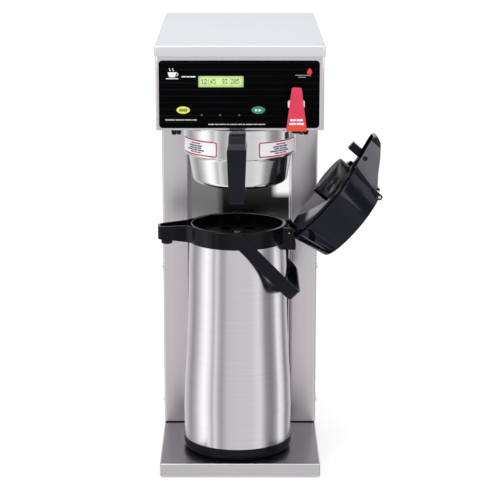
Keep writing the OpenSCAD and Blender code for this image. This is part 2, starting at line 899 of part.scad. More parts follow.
module airpot_collar() {
    color(black)
        difference() {
            union() {
                on_airpot() {
                    translate([0, 0, collar_z]) cylinder(r = collar_r, h = collar_top - collar_z);
                    translate([-101, 0, collar_z - 5]) cylinder(r = 8, h = 8);
                    for (s = [-1, 1])
                        rotate([s * 90, 0, 0]) translate([0, s > 0 ? bail_z : -bail_z, 0])
                            cylinder(r = bail_boss_r, h = collar_r + 1.5);
                }
                intersection() {
                    on_airpot() translate([0, 0, collar_z]) linear_extrude(40) nose_outline(0);
                    nose_slab(collar_z + 1, collar_top);
                }
                block([56, brew_y - 31, 321], [79, brew_y + 31, 331]);
                for (s = [-1, 1])
                    intersection() {
                        block([50, brew_y + s * 28 - 3, 325], [82, brew_y + s * 28 + 3, 355]);
                        union() {
                            block([50, brew_y - 40, 325], [hinge_x + 7, brew_y + 40, hinge_z]);
                            block([50, brew_y - 40, 325], [hinge_x, brew_y + 40, hinge_z + 7]);
                            rod_y(hinge_x, hinge_z, 7, brew_y - 40, brew_y + 40);
                        }
                    }
            }
            on_airpot() {
                translate([0, 0, ledge_z]) cylinder(r = mouth_r, h = 30);
                translate([0, 0, collar_z + 6]) cylinder(r = mouth_r - 4, h = 30);
                translate([0, 0, collar_z - 1]) cylinder(r = 42, h = 30);
                translate([0, 0, 300]) cylinder(r = airpot_neck_r + 0.05, h = collar_z - 300);
                translate([0, 0, collar_z + 5]) linear_extrude(30)
                    intersection() {
                        nose_outline(3);
                        translate([-120, -30]) square([75, 60]);
                    }
                translate([-101, 0, collar_z - 10]) cylinder(r = 5, h = 20);
                for (s = [-1, 1])
                    rotate([s * 90, 0, 0]) translate([0, s > 0 ? bail_z : -bail_z, mouth_r - 2])
                        cylinder(r = 4.1, h = 20);
            }
            rod_y(hinge_x, hinge_z, pin_r, brew_y - 40, brew_y + 40);
            rod_y(hinge_x, hinge_z, 5.5, brew_y - 24.8, brew_y + 24.8);
        }
}

module vacuum_liner() {
    w = 1;
    outer = [[0, 26], [60, 26], [66, 34], [66, 296], [62, 310], [44, 322], [41.8, 326], [41.8, 338]];
    inner = [[41.8 - w, 338], [41.8 - w, 325], [44 - w, 321], [62 - w, 309], [66 - w, 295],
        [66 - w, 34 + w], [60 - w, 26 + w], [0, 26 + w]];
    color("silver") on_airpot() rotate_extrude() polygon(concat(outer, inner));
}

module neck_insert() {
    seat_r = mouth_r - 4.5;
    color([0.1, 0.1, 0.11])
        on_airpot()
            difference() {
                rotate_extrude()
                    polygon([[4.7, ledge_z - 2.4], [seat_r, ledge_z], [mouth_r - 0.5, ledge_z],
                        [mouth_r - 0.5, ledge_z + 2], [seat_r, ledge_z + 2], [4.7, ledge_z - 0.4]]);
                for (i = [0:3])
                    rotate([0, 0, 90 * i + 45]) translate([26, 0, 330]) cylinder(r = 8, h = 20);
            }
}

module siphon_tube() {
    color("silver")
        on_airpot() tube_z(0, 0, 4.6, 3.4, 32, ledge_z + 1);
}

module lid_hinge_pin() {
    color("silver") rod_y(hinge_x, hinge_z, pin_r, brew_y - 32, brew_y + 32);
}

module bail_handle() {
    inner = bail_half - bail_t / 2;
    reach = bail_reach;
    half_path = concat([[0, -bail_half]], arc(reach - 14, -bail_half + 14, 14, 270, 360));
    path = concat(half_path, reversed([for (p = half_path) [p[0], -p[1]]]));
    color(black)
        translate([airpot_x, brew_y, bail_z]) rotate([0, bail_drop, 0]) {
            translate([0, 0, -bail_w / 2]) bent_sheet(path, bail_t, bail_w);
            for (s = [-1, 1]) {
                translate([0, s * bail_half, 0]) rotate([90, 0, 0])
                    cylinder(r = bail_w / 2, h = bail_t, center = true);
                translate([0, s * (inner + 1), 0]) rotate([s * 90, 0, 0]) cylinder(r = 4, h = 7);
            }
        }
}

// ---- airpot lid, drawn shut and then swung open ----

module on_lid() {
    translate([lid_x, brew_y, 0]) children();
}

module dome(shrink) {
    on_lid() translate([0, 0, dome_top - dome_r]) sphere(r = dome_r - shrink, $fn = 180);
}

module lid_cone(shrink) {
    slope = (lid_low_r - lid_high_r) / (lid_high - lid_z);
    z0 = lid_z - shrink / 3;
    z1 = dome_top + 2;
    on_lid() translate([0, 0, z0])
        cylinder(r1 = lid_low_r - shrink + slope * (lid_z - z0),
            r2 = lid_low_r - shrink + slope * (lid_z - z1), h = z1 - z0, $fn = 96);
}

// Side outline of the lid's nose
nose_side = [[-40, lid_z], [-62, lid_z], [-100, 347.2], [-109, 346.2], [-113, 350], [-110, 359],
    [-94, 372.5], [-76, 385], [-55, 402], [-40, 411.4]];
// Side outline of the room inside it, open below
nose_room = [[-40, 345], [-107, 341], [-110, 350.5], [-107.3, 357.8], [-92.2, 369.9],
    [-74.2, 382.4], [-53.2, 399.4], [-40, 407.8]];

module nose_prism(outline, half) {
    translate([0, brew_y + half, 0]) rotate([90, 0, 0]) linear_extrude(2 * half) polygon(outline);
}

module lid_shell() {
    ear = lever_hinge;
    color(black)
        lid_place()
            difference() {
                union() {
                    intersection() {
                        lid_cone(0);
                        dome(0);
                    }
                    nose_prism(nose_side, 20);
                    block([62, brew_y - 24.4, hinge_z], [hinge_x + 2, brew_y + 24.4, 368]);
                    rod_y(hinge_x, hinge_z, 5, brew_y - 24.4, brew_y + 24.4);
                    for (s = [-1, 1])
                        block([ear[0] - 4, brew_y + s * 25 - 2, 394],
                            [ear[0] + 4, brew_y + s * 25 + 2, ear[1] + 4]);
                }
                intersection() {
                    lid_cone(lid_wall);
                    dome(lid_wall);
                }
                nose_prism(nose_room, 17.5);
                block([ear[0] - 6, brew_y - 22.5, 398], [45, brew_y + 22.5, 440]);
                for (s = [-1, 1])
                    rod_y(hinge_x, hinge_z, 12.5, brew_y + s * 28.2 - 3.6, brew_y + s * 28.2 + 3.6);
                rod_y(hinge_x, hinge_z, pin_r + 0.05, brew_y - 40, brew_y + 40);
                rod_y(ear[0], ear[1], 2, brew_y - 40, brew_y + 40);
            }
}

// The dark pump housing under the inner plate: round at the nose, cut straight at the tube
module pump_housing() {
    intersection() {
        hull() {
            translate([-15, brew_y, 352.6]) cylinder(r = 40, h = 1);
            translate([-29, brew_y, 334.5]) scale([1, 0.8, 1]) cylinder(r = 26, h = 1);
        }
        block([-60, brew_y - 50, 330], [3, brew_y + 50, 354]);
    }
}

module lid_inner_plate() {
    color(grey_plastic)
        lid_place()
            difference() {
                union() {
                    on_lid() translate([0, 0, 357]) cylinder(r = 66.3, h = 3);
                    on_lid() translate([0, 0, 353]) cylinder(r = 54.5, h = 5);
                    pump_housing();
                    on_airpot() translate([0, 0, 337]) cylinder(r = 8.5, h = 18);
                    block([-84.5, brew_y - 7, 332], [-73, brew_y + 7, 353]);
                    block([-84.5, brew_y - 7, 352], [-61, brew_y + 7, 359]);
                }
                on_airpot() translate([0, 0, 330]) cylinder(r = 3.5, h = 50);
            }
}

module lid_gasket() {
    color([0.1, 0.1, 0.11])
        lid_place() on_lid() tube_z(0, 0, 65, 60, 354.5, 357);
}

module pump_bellows() {
    ribs = [for (i = [0:3]) each [[26, 360 + i * 9], [30, 364.5 + i * 9]]];
    color([0.3, 0.3, 0.32])
        lid_place() on_airpot() rotate_extrude() polygon(concat([[4, 360]], ribs, [[26, 396], [4, 396]]));
}

module lever_pin() {
    color("silver") lid_place() rod_y(lever_hinge[0], lever_hinge[1], 2, brew_y - 27, brew_y + 27);
}

module pump_lever() {
    side = [[-58.5, 401.5], [-55.5, 405], [-49, 406], [-36, 414.4], [36, 415.6], [41, 413.6],
        [42.5, 416.6], [36, 419], [-34, 419.3], [-50, 415.5], [-58.5, 409], [-62, 402.5]];
    color("silver")
        lid_place()
            difference() {
                union() {
                    nose_prism(side, 20.5);
                    rod_y(lever_hinge[0], lever_hinge[1], 4, brew_y - 20.5, brew_y + 20.5);
                    translate([airpot_x + 6, brew_y, 406.2]) cylinder(r = 8, h = 10);
                }
                rod_y(lever_hinge[0], lever_hinge[1], 2.1, brew_y - 30, brew_y + 30);
            }
}

// ---- one line for each node ----

base_pan();
feet();
column_front_panel();
side_panel_left();
side_panel_right();
back_panel();
frame_posts();
head_bottom_panel();
head_front_frame();
control_overlay();
lcd_window();
lcd_module();
control_board();
indicator_lights();
top_cover();
panel_screws();
funnel_rails();
rail_stops();
spray_head();
dispense_valve();
tank();
tank_gasket();
tank_lid();
heating_element();
temperature_probe();
level_probe();
limit_thermostat();
inlet_valve();
inlet_fitting();
water_tubes();
terminal_block();
switch_body();
cord_gland();
faucet_body();
faucet_bonnet();
faucet_pin();
faucet_lever();
faucet_stem();
button_yellow();
button_green();
power_rocker();
brew_funnel();
funnel_handle();
handle_screws();
funnel_labels();
wire_basket();
airpot_base_ring();
airpot_body();
airpot_collar();
vacuum_liner();
neck_insert();
siphon_tube();
lid_hinge_pin();
bail_handle();
lid_shell();
lid_inner_plate();
lid_gasket();
pump_bellows();
lever_pin();
pump_lever();
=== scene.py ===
"""The looks of a commercial coffee brewer with its brew funnel and lever airpot.

Metres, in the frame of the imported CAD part: +Z up, the front faces -Y.
"""

import json
import math

import bmesh
import bpy
from mathutils import Matrix, Vector

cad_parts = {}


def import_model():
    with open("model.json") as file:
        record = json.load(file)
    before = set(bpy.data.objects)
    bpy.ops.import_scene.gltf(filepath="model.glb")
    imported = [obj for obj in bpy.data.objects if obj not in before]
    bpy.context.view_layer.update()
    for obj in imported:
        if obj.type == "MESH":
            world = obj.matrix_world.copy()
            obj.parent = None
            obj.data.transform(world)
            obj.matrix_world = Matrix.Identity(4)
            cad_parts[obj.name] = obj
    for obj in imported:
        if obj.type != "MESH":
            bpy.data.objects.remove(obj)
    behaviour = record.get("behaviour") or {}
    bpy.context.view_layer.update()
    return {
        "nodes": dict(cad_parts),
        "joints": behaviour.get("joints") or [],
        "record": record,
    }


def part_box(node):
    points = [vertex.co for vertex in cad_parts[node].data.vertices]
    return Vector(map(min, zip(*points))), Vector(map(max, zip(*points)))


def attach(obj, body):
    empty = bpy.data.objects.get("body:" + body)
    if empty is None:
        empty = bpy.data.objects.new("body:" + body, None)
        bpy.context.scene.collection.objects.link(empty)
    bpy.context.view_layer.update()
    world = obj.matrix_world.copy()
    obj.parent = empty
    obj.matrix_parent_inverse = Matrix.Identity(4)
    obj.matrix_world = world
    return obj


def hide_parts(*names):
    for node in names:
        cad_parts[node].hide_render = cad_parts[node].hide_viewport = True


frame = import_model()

MM = 0.001
JOINTS = {joint["name"]: Vector(joint["pos_m"]) for joint in frame["joints"] if "pos_m" in joint}
LID_OPEN = math.radians(131)        # the lid is designed shut, and stands this far open at rest
BAIL_DROP = math.radians(45.5)      # the bail is designed level, and hangs this far down at rest


# ---- places ----


class Box:
    """The extent of a CAD node at rest."""

    def __init__(self, node):
        self.low, self.high = map(Vector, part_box(node))
        self.mid = (self.low + self.high) / 2
        self.size = self.high - self.low

    def plan(self, grow=0.0, corner=0.0):
        """Its rectangle seen from above, made larger."""
        return rectangle(*self.mid.xy, self.size.x + grow, self.size.y + grow, corner)

    def front(self, grow=0.0, corner=0.0):
        """Its rectangle seen from the front, made larger."""
        return rectangle(self.mid.x, self.mid.z, self.size.x + grow, self.size.z + grow, corner)


PAN = Box("base_pan")
COVER = Box("top_cover")
HEAD = Box("head_front_frame")
OVERLAY = Box("control_overlay")
DISPLAY = Box("lcd_window")
LAMPS = Box("indicator_lights")
COLUMN = Box("column_front_panel")
LEVER = Box("faucet_lever")
FUNNEL = Box("brew_funnel")
GRIP = Box("funnel_handle")
LABELS = Box("funnel_labels")
POT = Box("airpot_body")
RING = Box("airpot_base_ring")
LID_HINGE = JOINTS["airpot_lid"]
BAIL_PIVOT = JOINTS["bail"]
FUNNEL_AXIS = Vector((FUNNEL.mid.x, FUNNEL.mid.y, 0))
FUNNEL_TURN = math.radians(-2.2)    # the funnel is seated slightly turned
POT_AXIS = Vector((POT.mid.x, POT.mid.y, 0))


# ---- outlines, in two dimensions ----


def arc(cx, cy, r, start, end, steps=12):
    """Points along an arc, with its angles in degrees."""
    turns = [math.radians(start + (end - start) * i / steps) for i in range(steps + 1)]
    return [(cx + r * math.cos(a), cy + r * math.sin(a)) for a in turns]


def rounded(points, radii, closed=True, steps=6):
    """The outline with each corner rounded to its radius in millimetres; one number is for all."""
    if not hasattr(radii, "__len__"):
        radii = [radii] * len(points)
    made = []
    count = len(points)
    for i, (point, radius) in enumerate(zip(points, radii)):
        ends = not closed and i in (0, count - 1)
        if ends or radius <= 0:
            made.append(tuple(point))
            continue
        radius *= MM
        here = Vector(point)
        to_last = (Vector(points[i - 1]) - here).normalized()
        to_next = (Vector(points[(i + 1) % count]) - here).normalized()
        angle = to_last.angle(to_next)
        if angle > math.radians(178):
            made.append(tuple(point))
            continue
        reach = radius / math.tan(angle / 2)
        centre = here + (to_last + to_next).normalized() * radius / math.sin(angle / 2)
        first = here + to_last * reach - centre
        last = here + to_next * reach - centre
        turn = math.atan2(first.x * last.y - first.y * last.x, first.dot(last))
        for k in range(steps + 1):
            made.append(tuple(centre + Matrix.Rotation(turn * k / steps, 2) @ first))
    return made


def corners(left, right, low, high):
    """The corners of the rectangle between these limits."""
    return [(left, low), (right, low), (right, high), (left, high)]


def rectangle(cx, cy, w, h, r=0.0):
    """A rectangle round a centre, with its corners rounded by r millimetres."""
    made = corners(cx - w / 2, cx + w / 2, cy - h / 2, cy + h / 2)
    return rounded(made, r) if r else made


def oval(cx, cy, w, h, steps=48):
    """An ellipse round a centre."""
    turns = [2 * math.pi * i / steps for i in range(steps)]
    return [(cx + w / 2 * math.cos(a), cy + h / 2 * math.sin(a)) for a in turns]


def beside(path, distance):
    """The open path moved sideways by a distance, to the left of its direction."""
    moved = []
    for i, point in enumerate(path):
        before = Vector(point) - Vector(path[max(i - 1, 0)])
        after = Vector(path[min(i + 1, len(path) - 1)]) - Vector(point)
        before = before if before.length > 1e-9 else after
        after = after if after.length > 1e-9 else before
        n1 = Vector((-before.y, before.x)).normalized()
        n2 = Vector((-after.y, after.x)).normalized()
        moved.append(tuple(Vector(point) + (n1 + n2) * distance / (1 + n1.dot(n2))))
    return moved


def strip(path, thickness):
    """The closed outline of a sheet that follows a path, on the path's left side."""
    return list(path) + beside(path, thickness)[::-1]


# ---- solids ----


PLANES = {
    "xy": lambda u, v, w: (u, v, w),
    "xz": lambda u, v, w: (u, w, v),
    "yz": lambda u, v, w: (w, u, v),
}


def object_from(name, bm):
    """An object holding the bmesh, with its normals outward."""
    bmesh.ops.remove_doubles(bm, verts=bm.verts, dist=1e-7)
    bmesh.ops.recalc_face_normals(bm, faces=bm.faces)
    mesh = bpy.data.meshes.new(name)
    bm.to_mesh(mesh)
    bm.free()
    obj = bpy.data.objects.new(name, mesh)
    bpy.context.scene.collection.objects.link(obj)
    return obj


def prism(name, outline, plane, start, end):
    """A solid with this outline in a plane, from start to end along the third axis."""
    bm = bmesh.new()
    place = PLANES[plane]
    low = [bm.verts.new(place(u, v, start)) for u, v in outline]
    high = [bm.verts.new(place(u, v, end)) for u, v in outline]
    bm.faces.new(low)
    bm.faces.new(high[::-1])
    for i in range(len(outline)):
        j = (i + 1) % len(outline)
        bm.faces.new((low[i], low[j], high[j], high[i]))
    return object_from(name, bm)


def ring_prism(name, outer, inner, plane, start, end):
    """A frame between two outlines of the same number of points, from start to end."""
    bm = bmesh.new()
    place = PLANES[plane]
    rings = [[bm.verts.new(place(u, v, w)) for u, v in outline] for outline, w in ((outer, start),
        (inner, start), (inner, end), (outer, end))]
    for k in range(4):
        a, b = rings[k], rings[(k + 1) % 4]
        for i in range(len(a)):
            j = (i + 1) % len(a)
            bm.faces.new((a[i], a[j], b[j], b[i]))
    return object_from(name, bm)


def lathe(name, profile, centre, steps=128):
    """A closed outline of (radius, height) points turned about a vertical axis."""
    bm = bmesh.new()
    columns = []
    for i in range(steps):
        a = 2 * math.pi * i / steps
        columns.append([bm.verts.new((centre[0] + r * math.cos(a), centre[1] + r * math.sin(a), z))
            for r, z in profile])
    count = len(profile)
    for i in range(steps):
        a, b = columns[i], columns[(i + 1) % steps]
        for k in range(count):
            m = (k + 1) % count
            if profile[k][0] < 1e-9 and profile[m][0] < 1e-9:
                continue
            bm.faces.new((a[k], b[k], b[m], a[m]))
    bmesh.ops.remove_doubles(bm, verts=bm.verts, dist=1e-7)
    bmesh.ops.dissolve_degenerate(bm, edges=bm.edges, dist=1e-8)
    return object_from(name, bm)


def moved(obj, matrix):
    obj.data.transform(matrix)
    return obj


def aimed(obj, base, direction):
    """Turns a solid that stands on the origin to start at base and point in a direction."""
    turn = Vector((0, 0, 1)).rotation_difference(Vector(direction)).to_matrix().to_4x4()
    return moved(obj, Matrix.Translation(base) @ turn)


def turned(name, profile, base, direction, steps=48):
    """A lathe solid whose axis starts at base and points in a direction."""
    return aimed(lathe(name, profile, (0, 0), steps), base, direction)


def rod(name, radius, length, base, direction, steps=48):
    """A plain cylinder from base in a direction; its radius and length are in millimetres."""
    return turned(name, corners(0, radius * MM, 0, length * MM), base, direction, steps)


def loft(name, rings):
    """A solid through closed rings of the same number of points."""
    bm = bmesh.new()
    made = [[bm.verts.new(p) for p in ring] for ring in rings]
    for a, b in zip(made, made[1:]):
        for i in range(len(a)):
            j = (i + 1) % len(a)
            bm.faces.new((a[i], a[j], b[j], b[i]))
    bm.faces.new(made[0])
    bm.faces.new(made[-1][::-1])
    return object_from(name, bm)


def bake(obj):
    """Applies the object's modifiers."""
    graph = bpy.context.evaluated_depsgraph_get()
    mesh = bpy.data.meshes.new_from_object(obj.evaluated_get(graph))
    obj.modifiers.clear()
    obj.data = mesh
    return obj


def bevel(obj, width, segments=3, angle=38):
    """Rounds the edges that are sharper than an angle, by a width in millimetres."""
    modifier = obj.modifiers.new("bevel", "BEVEL")
    modifier.width = width * MM
    modifier.segments = segments
    modifier.limit_method = "ANGLE"
    modifier.angle_limit = math.radians(angle)
    modifier.miter_outer = "MITER_ARC"
    return bake(obj)


def combine(obj, other, operation):
    """A boolean of the object with another, which is used up."""
    modifier = obj.modifiers.new("boolean", "BOOLEAN")
    modifier.operation = operation
    modifier.solver = "EXACT"
    modifier.object = other
    bake(obj)
    bpy.data.objects.remove(other)
    return obj


def cut(obj, *others):
    for other in others:
        combine(obj, other, "DIFFERENCE")
    return obj


def unite(obj, *others):
    for other in others:
        combine(obj, other, "UNION")
    return obj


def overlap(obj, other):
    return combine(obj, other, "INTERSECT")


def join(name, objects):
    """One object from several that don't overlap."""
    bm = bmesh.new()
    materials = []
    for obj in objects:
        start = len(bm.faces)
        bm.from_mesh(obj.data)
        bm.faces.ensure_lookup_table()
        for index, material in enumerate(obj.data.materials):
            if material not in materials:
                materials.append(material)
            for face in bm.faces[start:]:
                if face.material_index == index and not face.tag:
                    face.material_index = materials.index(material)
                    face.tag = True
        bpy.data.objects.remove(obj)
    joined = object_from(name, bm)
    for material in materials:
        joined.data.materials.append(material)
    return joined


def two_tone(obj, main, other, chosen):
    """Gives an object one material, and another on the faces that a test picks."""
    for material in (main, other):
        obj.data.materials.append(M[material])
    for face in obj.data.polygons:
        if chosen(face):
            face.material_index = 1


def about(point, angle, axis):
    """A turn about an axis through a point."""
    there = Matrix.Translation(point)
    return there @ Matrix.Rotation(angle, 4, axis) @ there.inverted()


def piece(obj, material, body, nodes=(), smooth=38):
    """Finishes a piece: its material, shading, body, material slot and the nodes it stands for."""
    if material:
        obj.data.materials.append(M[material])
    obj.data.shade_smooth()
    obj.data.set_sharp_from_angle(angle=math.radians(smooth))
    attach(obj, body)
    if nodes:
        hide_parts(*nodes)
    return obj


# ---- materials ----


def add_node(tree, kind, inputs=(), **settings):
    """A shader node with its settings, and its inputs linked or set."""
    node = tree.nodes.new("ShaderNode" + kind)
    for name, value in settings.items():
        setattr(node, name, value)
    for key, value in dict(inputs).items():
        if hasattr(value, "is_output"):
            tree.links.new(value, node.inputs[key])
        else:
            node.inputs[key].default_value = value
    return node


class Shader:
    """A Principled material while its nodes are being added."""

    def __init__(self, name, color, roughness, metallic=0.0, **sockets):
        self.material = bpy.data.materials.new(name)
        self.material.use_nodes = True
        self.tree = self.material.node_tree
        self.bsdf = self.tree.nodes["Principled BSDF"]
        self.set(Base_Color=(*color, 1), Roughness=roughness, Metallic=metallic, **sockets)

    def set(self, **sockets):
        for socket, value in sockets.items():
            self.bsdf.inputs[socket.replace("_", " ")].default_value = value

    def add(self, kind, inputs=(), **settings):
        return add_node(self.tree, kind, inputs, **settings)

    def math(self, operation, a, b=0.0):
        return self.add("Math", {0: a, 1: b}, operation=operation).outputs[0]

    def noise(self, scale, stretch=(1, 1, 1), detail=4, roughness=0.55):
        """Noise over the object's own coordinates, stretched along its grain."""
        place = self.add("TexCoord").outputs["Object"]
        place = self.add("Mapping", {"Vector": place, "Scale": stretch}).outputs["Vector"]
        made = self.add("TexNoise", {"Vector": place, "Scale": scale, "Detail": detail,
            "Roughness": roughness})
        return made.outputs["Fac"]

    def remap(self, value, low, high, start=0.3, end=0.7):
        made = self.add("MapRange", {"Value": value, "From Min": start, "From Max": end,
            "To Min": low, "To Max": high})
        return made.outputs["Result"]

    def mix(self, factor, first, second):
        return self.add("Mix", {0: factor, 6: first, 7: second}, data_type="RGBA").outputs[2]

    def to(self, socket, value):
        self.tree.links.new(value, self.bsdf.inputs[socket])
        return self

    def bump(self, height, strength, distance=0.2):
        made = self.add("Bump", {"Height": height, "Strength": strength, "Distance": distance * MM})
        return self.to("Normal", made.outputs["Normal"])


def scaled(color, factor):
    return tuple(c * factor for c in color[:3]) + (1,)


def brushed(name, color, roughness, stretch, anisotropy=0.0, turn=0.0):
    """Steel with a grain: stretch is small along the grain and large across it."""
    s = Shader(name, color, roughness, 1.0, Anisotropic=anisotropy, Anisotropic_Rotation=turn)
    fine = s.noise(1400, stretch, 2)
    broad = s.noise(260, stretch, 2)
    cloud = s.noise(9, detail=3)
    s.to("Roughness", s.remap(s.math("ADD", s.math("MULTIPLY", broad, 0.6),
        s.math("MULTIPLY", cloud, 0.4)), roughness * 0.93, roughness * 1.08))
    s.to("Base Color", s.mix(s.remap(broad, 0, 1), scaled(color, 0.975), scaled(color, 1.015)))
    s.bump(fine, 0.05, 0.02)
    if anisotropy:
        tangent = s.add("Tangent", direction_type="RADIAL", axis="Z")
        s.to("Tangent", tangent.outputs[0])
    return s.material


def moulded(name, color, roughness, grain=0.1, coat=0.0, specular=0.5):
    """Moulded plastic: a fine spark-eroded grain, and slightly uneven gloss."""
    s = Shader(name, color, roughness, 0.0, Coat_Weight=coat, Coat_Roughness=0.15,
        Specular_IOR_Level=specular)
    fine = s.noise(2600, detail=2)
    cloud = s.noise(35, detail=4)
    s.to("Roughness", s.remap(cloud, roughness * 0.88, roughness * 1.15))
    s.to("Base Color", s.mix(s.remap(cloud, 0, 1), scaled(color, 0.92), scaled(color, 1.06)))
    s.bump(fine, grain, 0.05)
    return s.material


def polished(name, color, roughness):
    """Bright metal with faint handling marks."""
    s = Shader(name, color, roughness, 1.0)
    s.to("Roughness", s.remap(s.noise(40, detail=5), roughness * 0.7, roughness * 1.5))
    s.bump(s.noise(300, detail=3), 0.03, 0.05)
    return s.material


def overlay_black():
    """Glossy printed black polycarbonate with faint level pinstripes."""
    s = Shader("overlay_black", (0.0012, 0.0012, 0.0016), 0.3, 0.0, Specular_IOR_Level=0.02)
    height = s.add("SeparateXYZ", {0: s.add("TexCoord").outputs["Object"]}).outputs[2]
    phase = s.math("FRACT", s.math("DIVIDE", height, 9 * MM))
    line = s.math("LESS_THAN", phase, 0.075)
    worn = s.remap(s.noise(30, (0.3, 1, 1), 2), 0.25, 1)
    s.to("Base Color", s.mix(s.math("MULTIPLY", line, worn), (0.0012, 0.0012, 0.0016, 1),
        (0.012, 0.013, 0.015, 1)))
    s.to("Roughness", s.remap(s.noise(25, detail=4), 0.25, 0.35))
    s.bump(s.noise(1500, detail=2), 0.02, 0.02)
    return s.material


def lever_red():
    """Red plastic that turns more orange towards the lip at its bottom."""
    s = Shader("lever_red", (0.82, 0.035, 0.1), 0.34, 0.0, Subsurface_Weight=0.0)
    height = s.add("SeparateXYZ", {0: s.add("TexCoord").outputs["Object"]}).outputs[2]
    lip = s.remap(height, 1, 0, LEVER.low.z + 6 * MM, LEVER.low.z + 10 * MM)
    cloud = s.remap(s.noise(60, detail=3), 0, 1)
    body = s.mix(cloud, (0.62, 0.022, 0.07, 1), (0.68, 0.03, 0.085, 1))
    s.to("Base Color", s.mix(lip, body, (0.7, 0.05, 0.02, 1)))
    s.bump(s.noise(2200, detail=2), 0.06, 0.05)
    return s.material


def recess_shade_and_reflection():
    """Steel at the back of the recess, painted dark as shade, with painted reflections of soft
    panels glowing beside the funnel.
    """
    # The dark base colour is painted shade: the recess is the same steel sheet as the flanges.
    s = Shader("recess_shade_and_reflection", (0.13, 0.13, 0.135), 0.25, 1.0)
    place = s.add("SeparateXYZ", {0: s.add("TexCoord").outputs["Object"]})
    x, z = place.outputs[0], place.outputs[2]
    # A faint glow towards the recess's left edge: a painted reflection.
    left = s.math("MULTIPLY", s.remap(x, 1, 0, -36 * MM, -24 * MM), 0.15)
    # A bright glowing patch right of the funnel, above its band: a painted reflection.
    right = s.math("MULTIPLY", s.remap(x, 0, 1, 46 * MM, 56 * MM),
        s.remap(z, 0, 0.9, 366 * MM, 376 * MM))
    s.to("Emission Strength", s.math("MAXIMUM", left, right))
    s.set(Emission_Color=(1, 1, 1, 1))
    broad = s.noise(60, (1, 1, 0.002), 5)
    s.to("Base Color", s.mix(s.remap(broad, 0, 1), (0.12, 0.12, 0.125, 1), (0.14, 0.14, 0.145, 1)))
    s.bump(s.noise(900, (1, 1, 0.002), 3), 0.12, 0.02)
    return s.material


def display_green():
    """The lit liquid crystal behind its window."""
    green = (0.42, 0.6, 0.17)
    s = Shader("display_green", green, 0.5)
    cloud = s.remap(s.noise(120, detail=3), 0, 1)
    tint = s.mix(cloud, (0.38, 0.56, 0.15, 1), (0.5, 0.68, 0.24, 1))
    s.to("Base Color", tint)
    s.to("Emission Color", tint)
    s.set(Emission_Strength=0.25)
    return s.material


def window_clear():
    """A thin clear window."""
    s = Shader("window_clear", (0.9, 0.95, 0.9), 0.06, 0.0, Alpha=0.03)
    s.to("Roughness", s.remap(s.noise(60), 0.04, 0.1))
    return s.material


def label_white():
    """A glossy paper label."""
    s = Shader("label_white", (0.84, 0.83, 0.87), 0.35, 0.0, Coat_Weight=0.3)
    cloud = s.remap(s.noise(50), 0, 1)
    s.to("Base Color", s.mix(cloud, (0.8, 0.79, 0.84, 1), (0.88, 0.87, 0.9, 1)))
    s.bump(s.noise(700), 0.03, 0.05)
    return s.material


def ink(name, color):
    """Printing ink."""
    s = Shader(name, color, 0.4)
    s.to("Base Color", s.mix(s.remap(s.noise(400), 0, 1), scaled(color, 0.85), scaled(color, 1.1)))
    return s.material


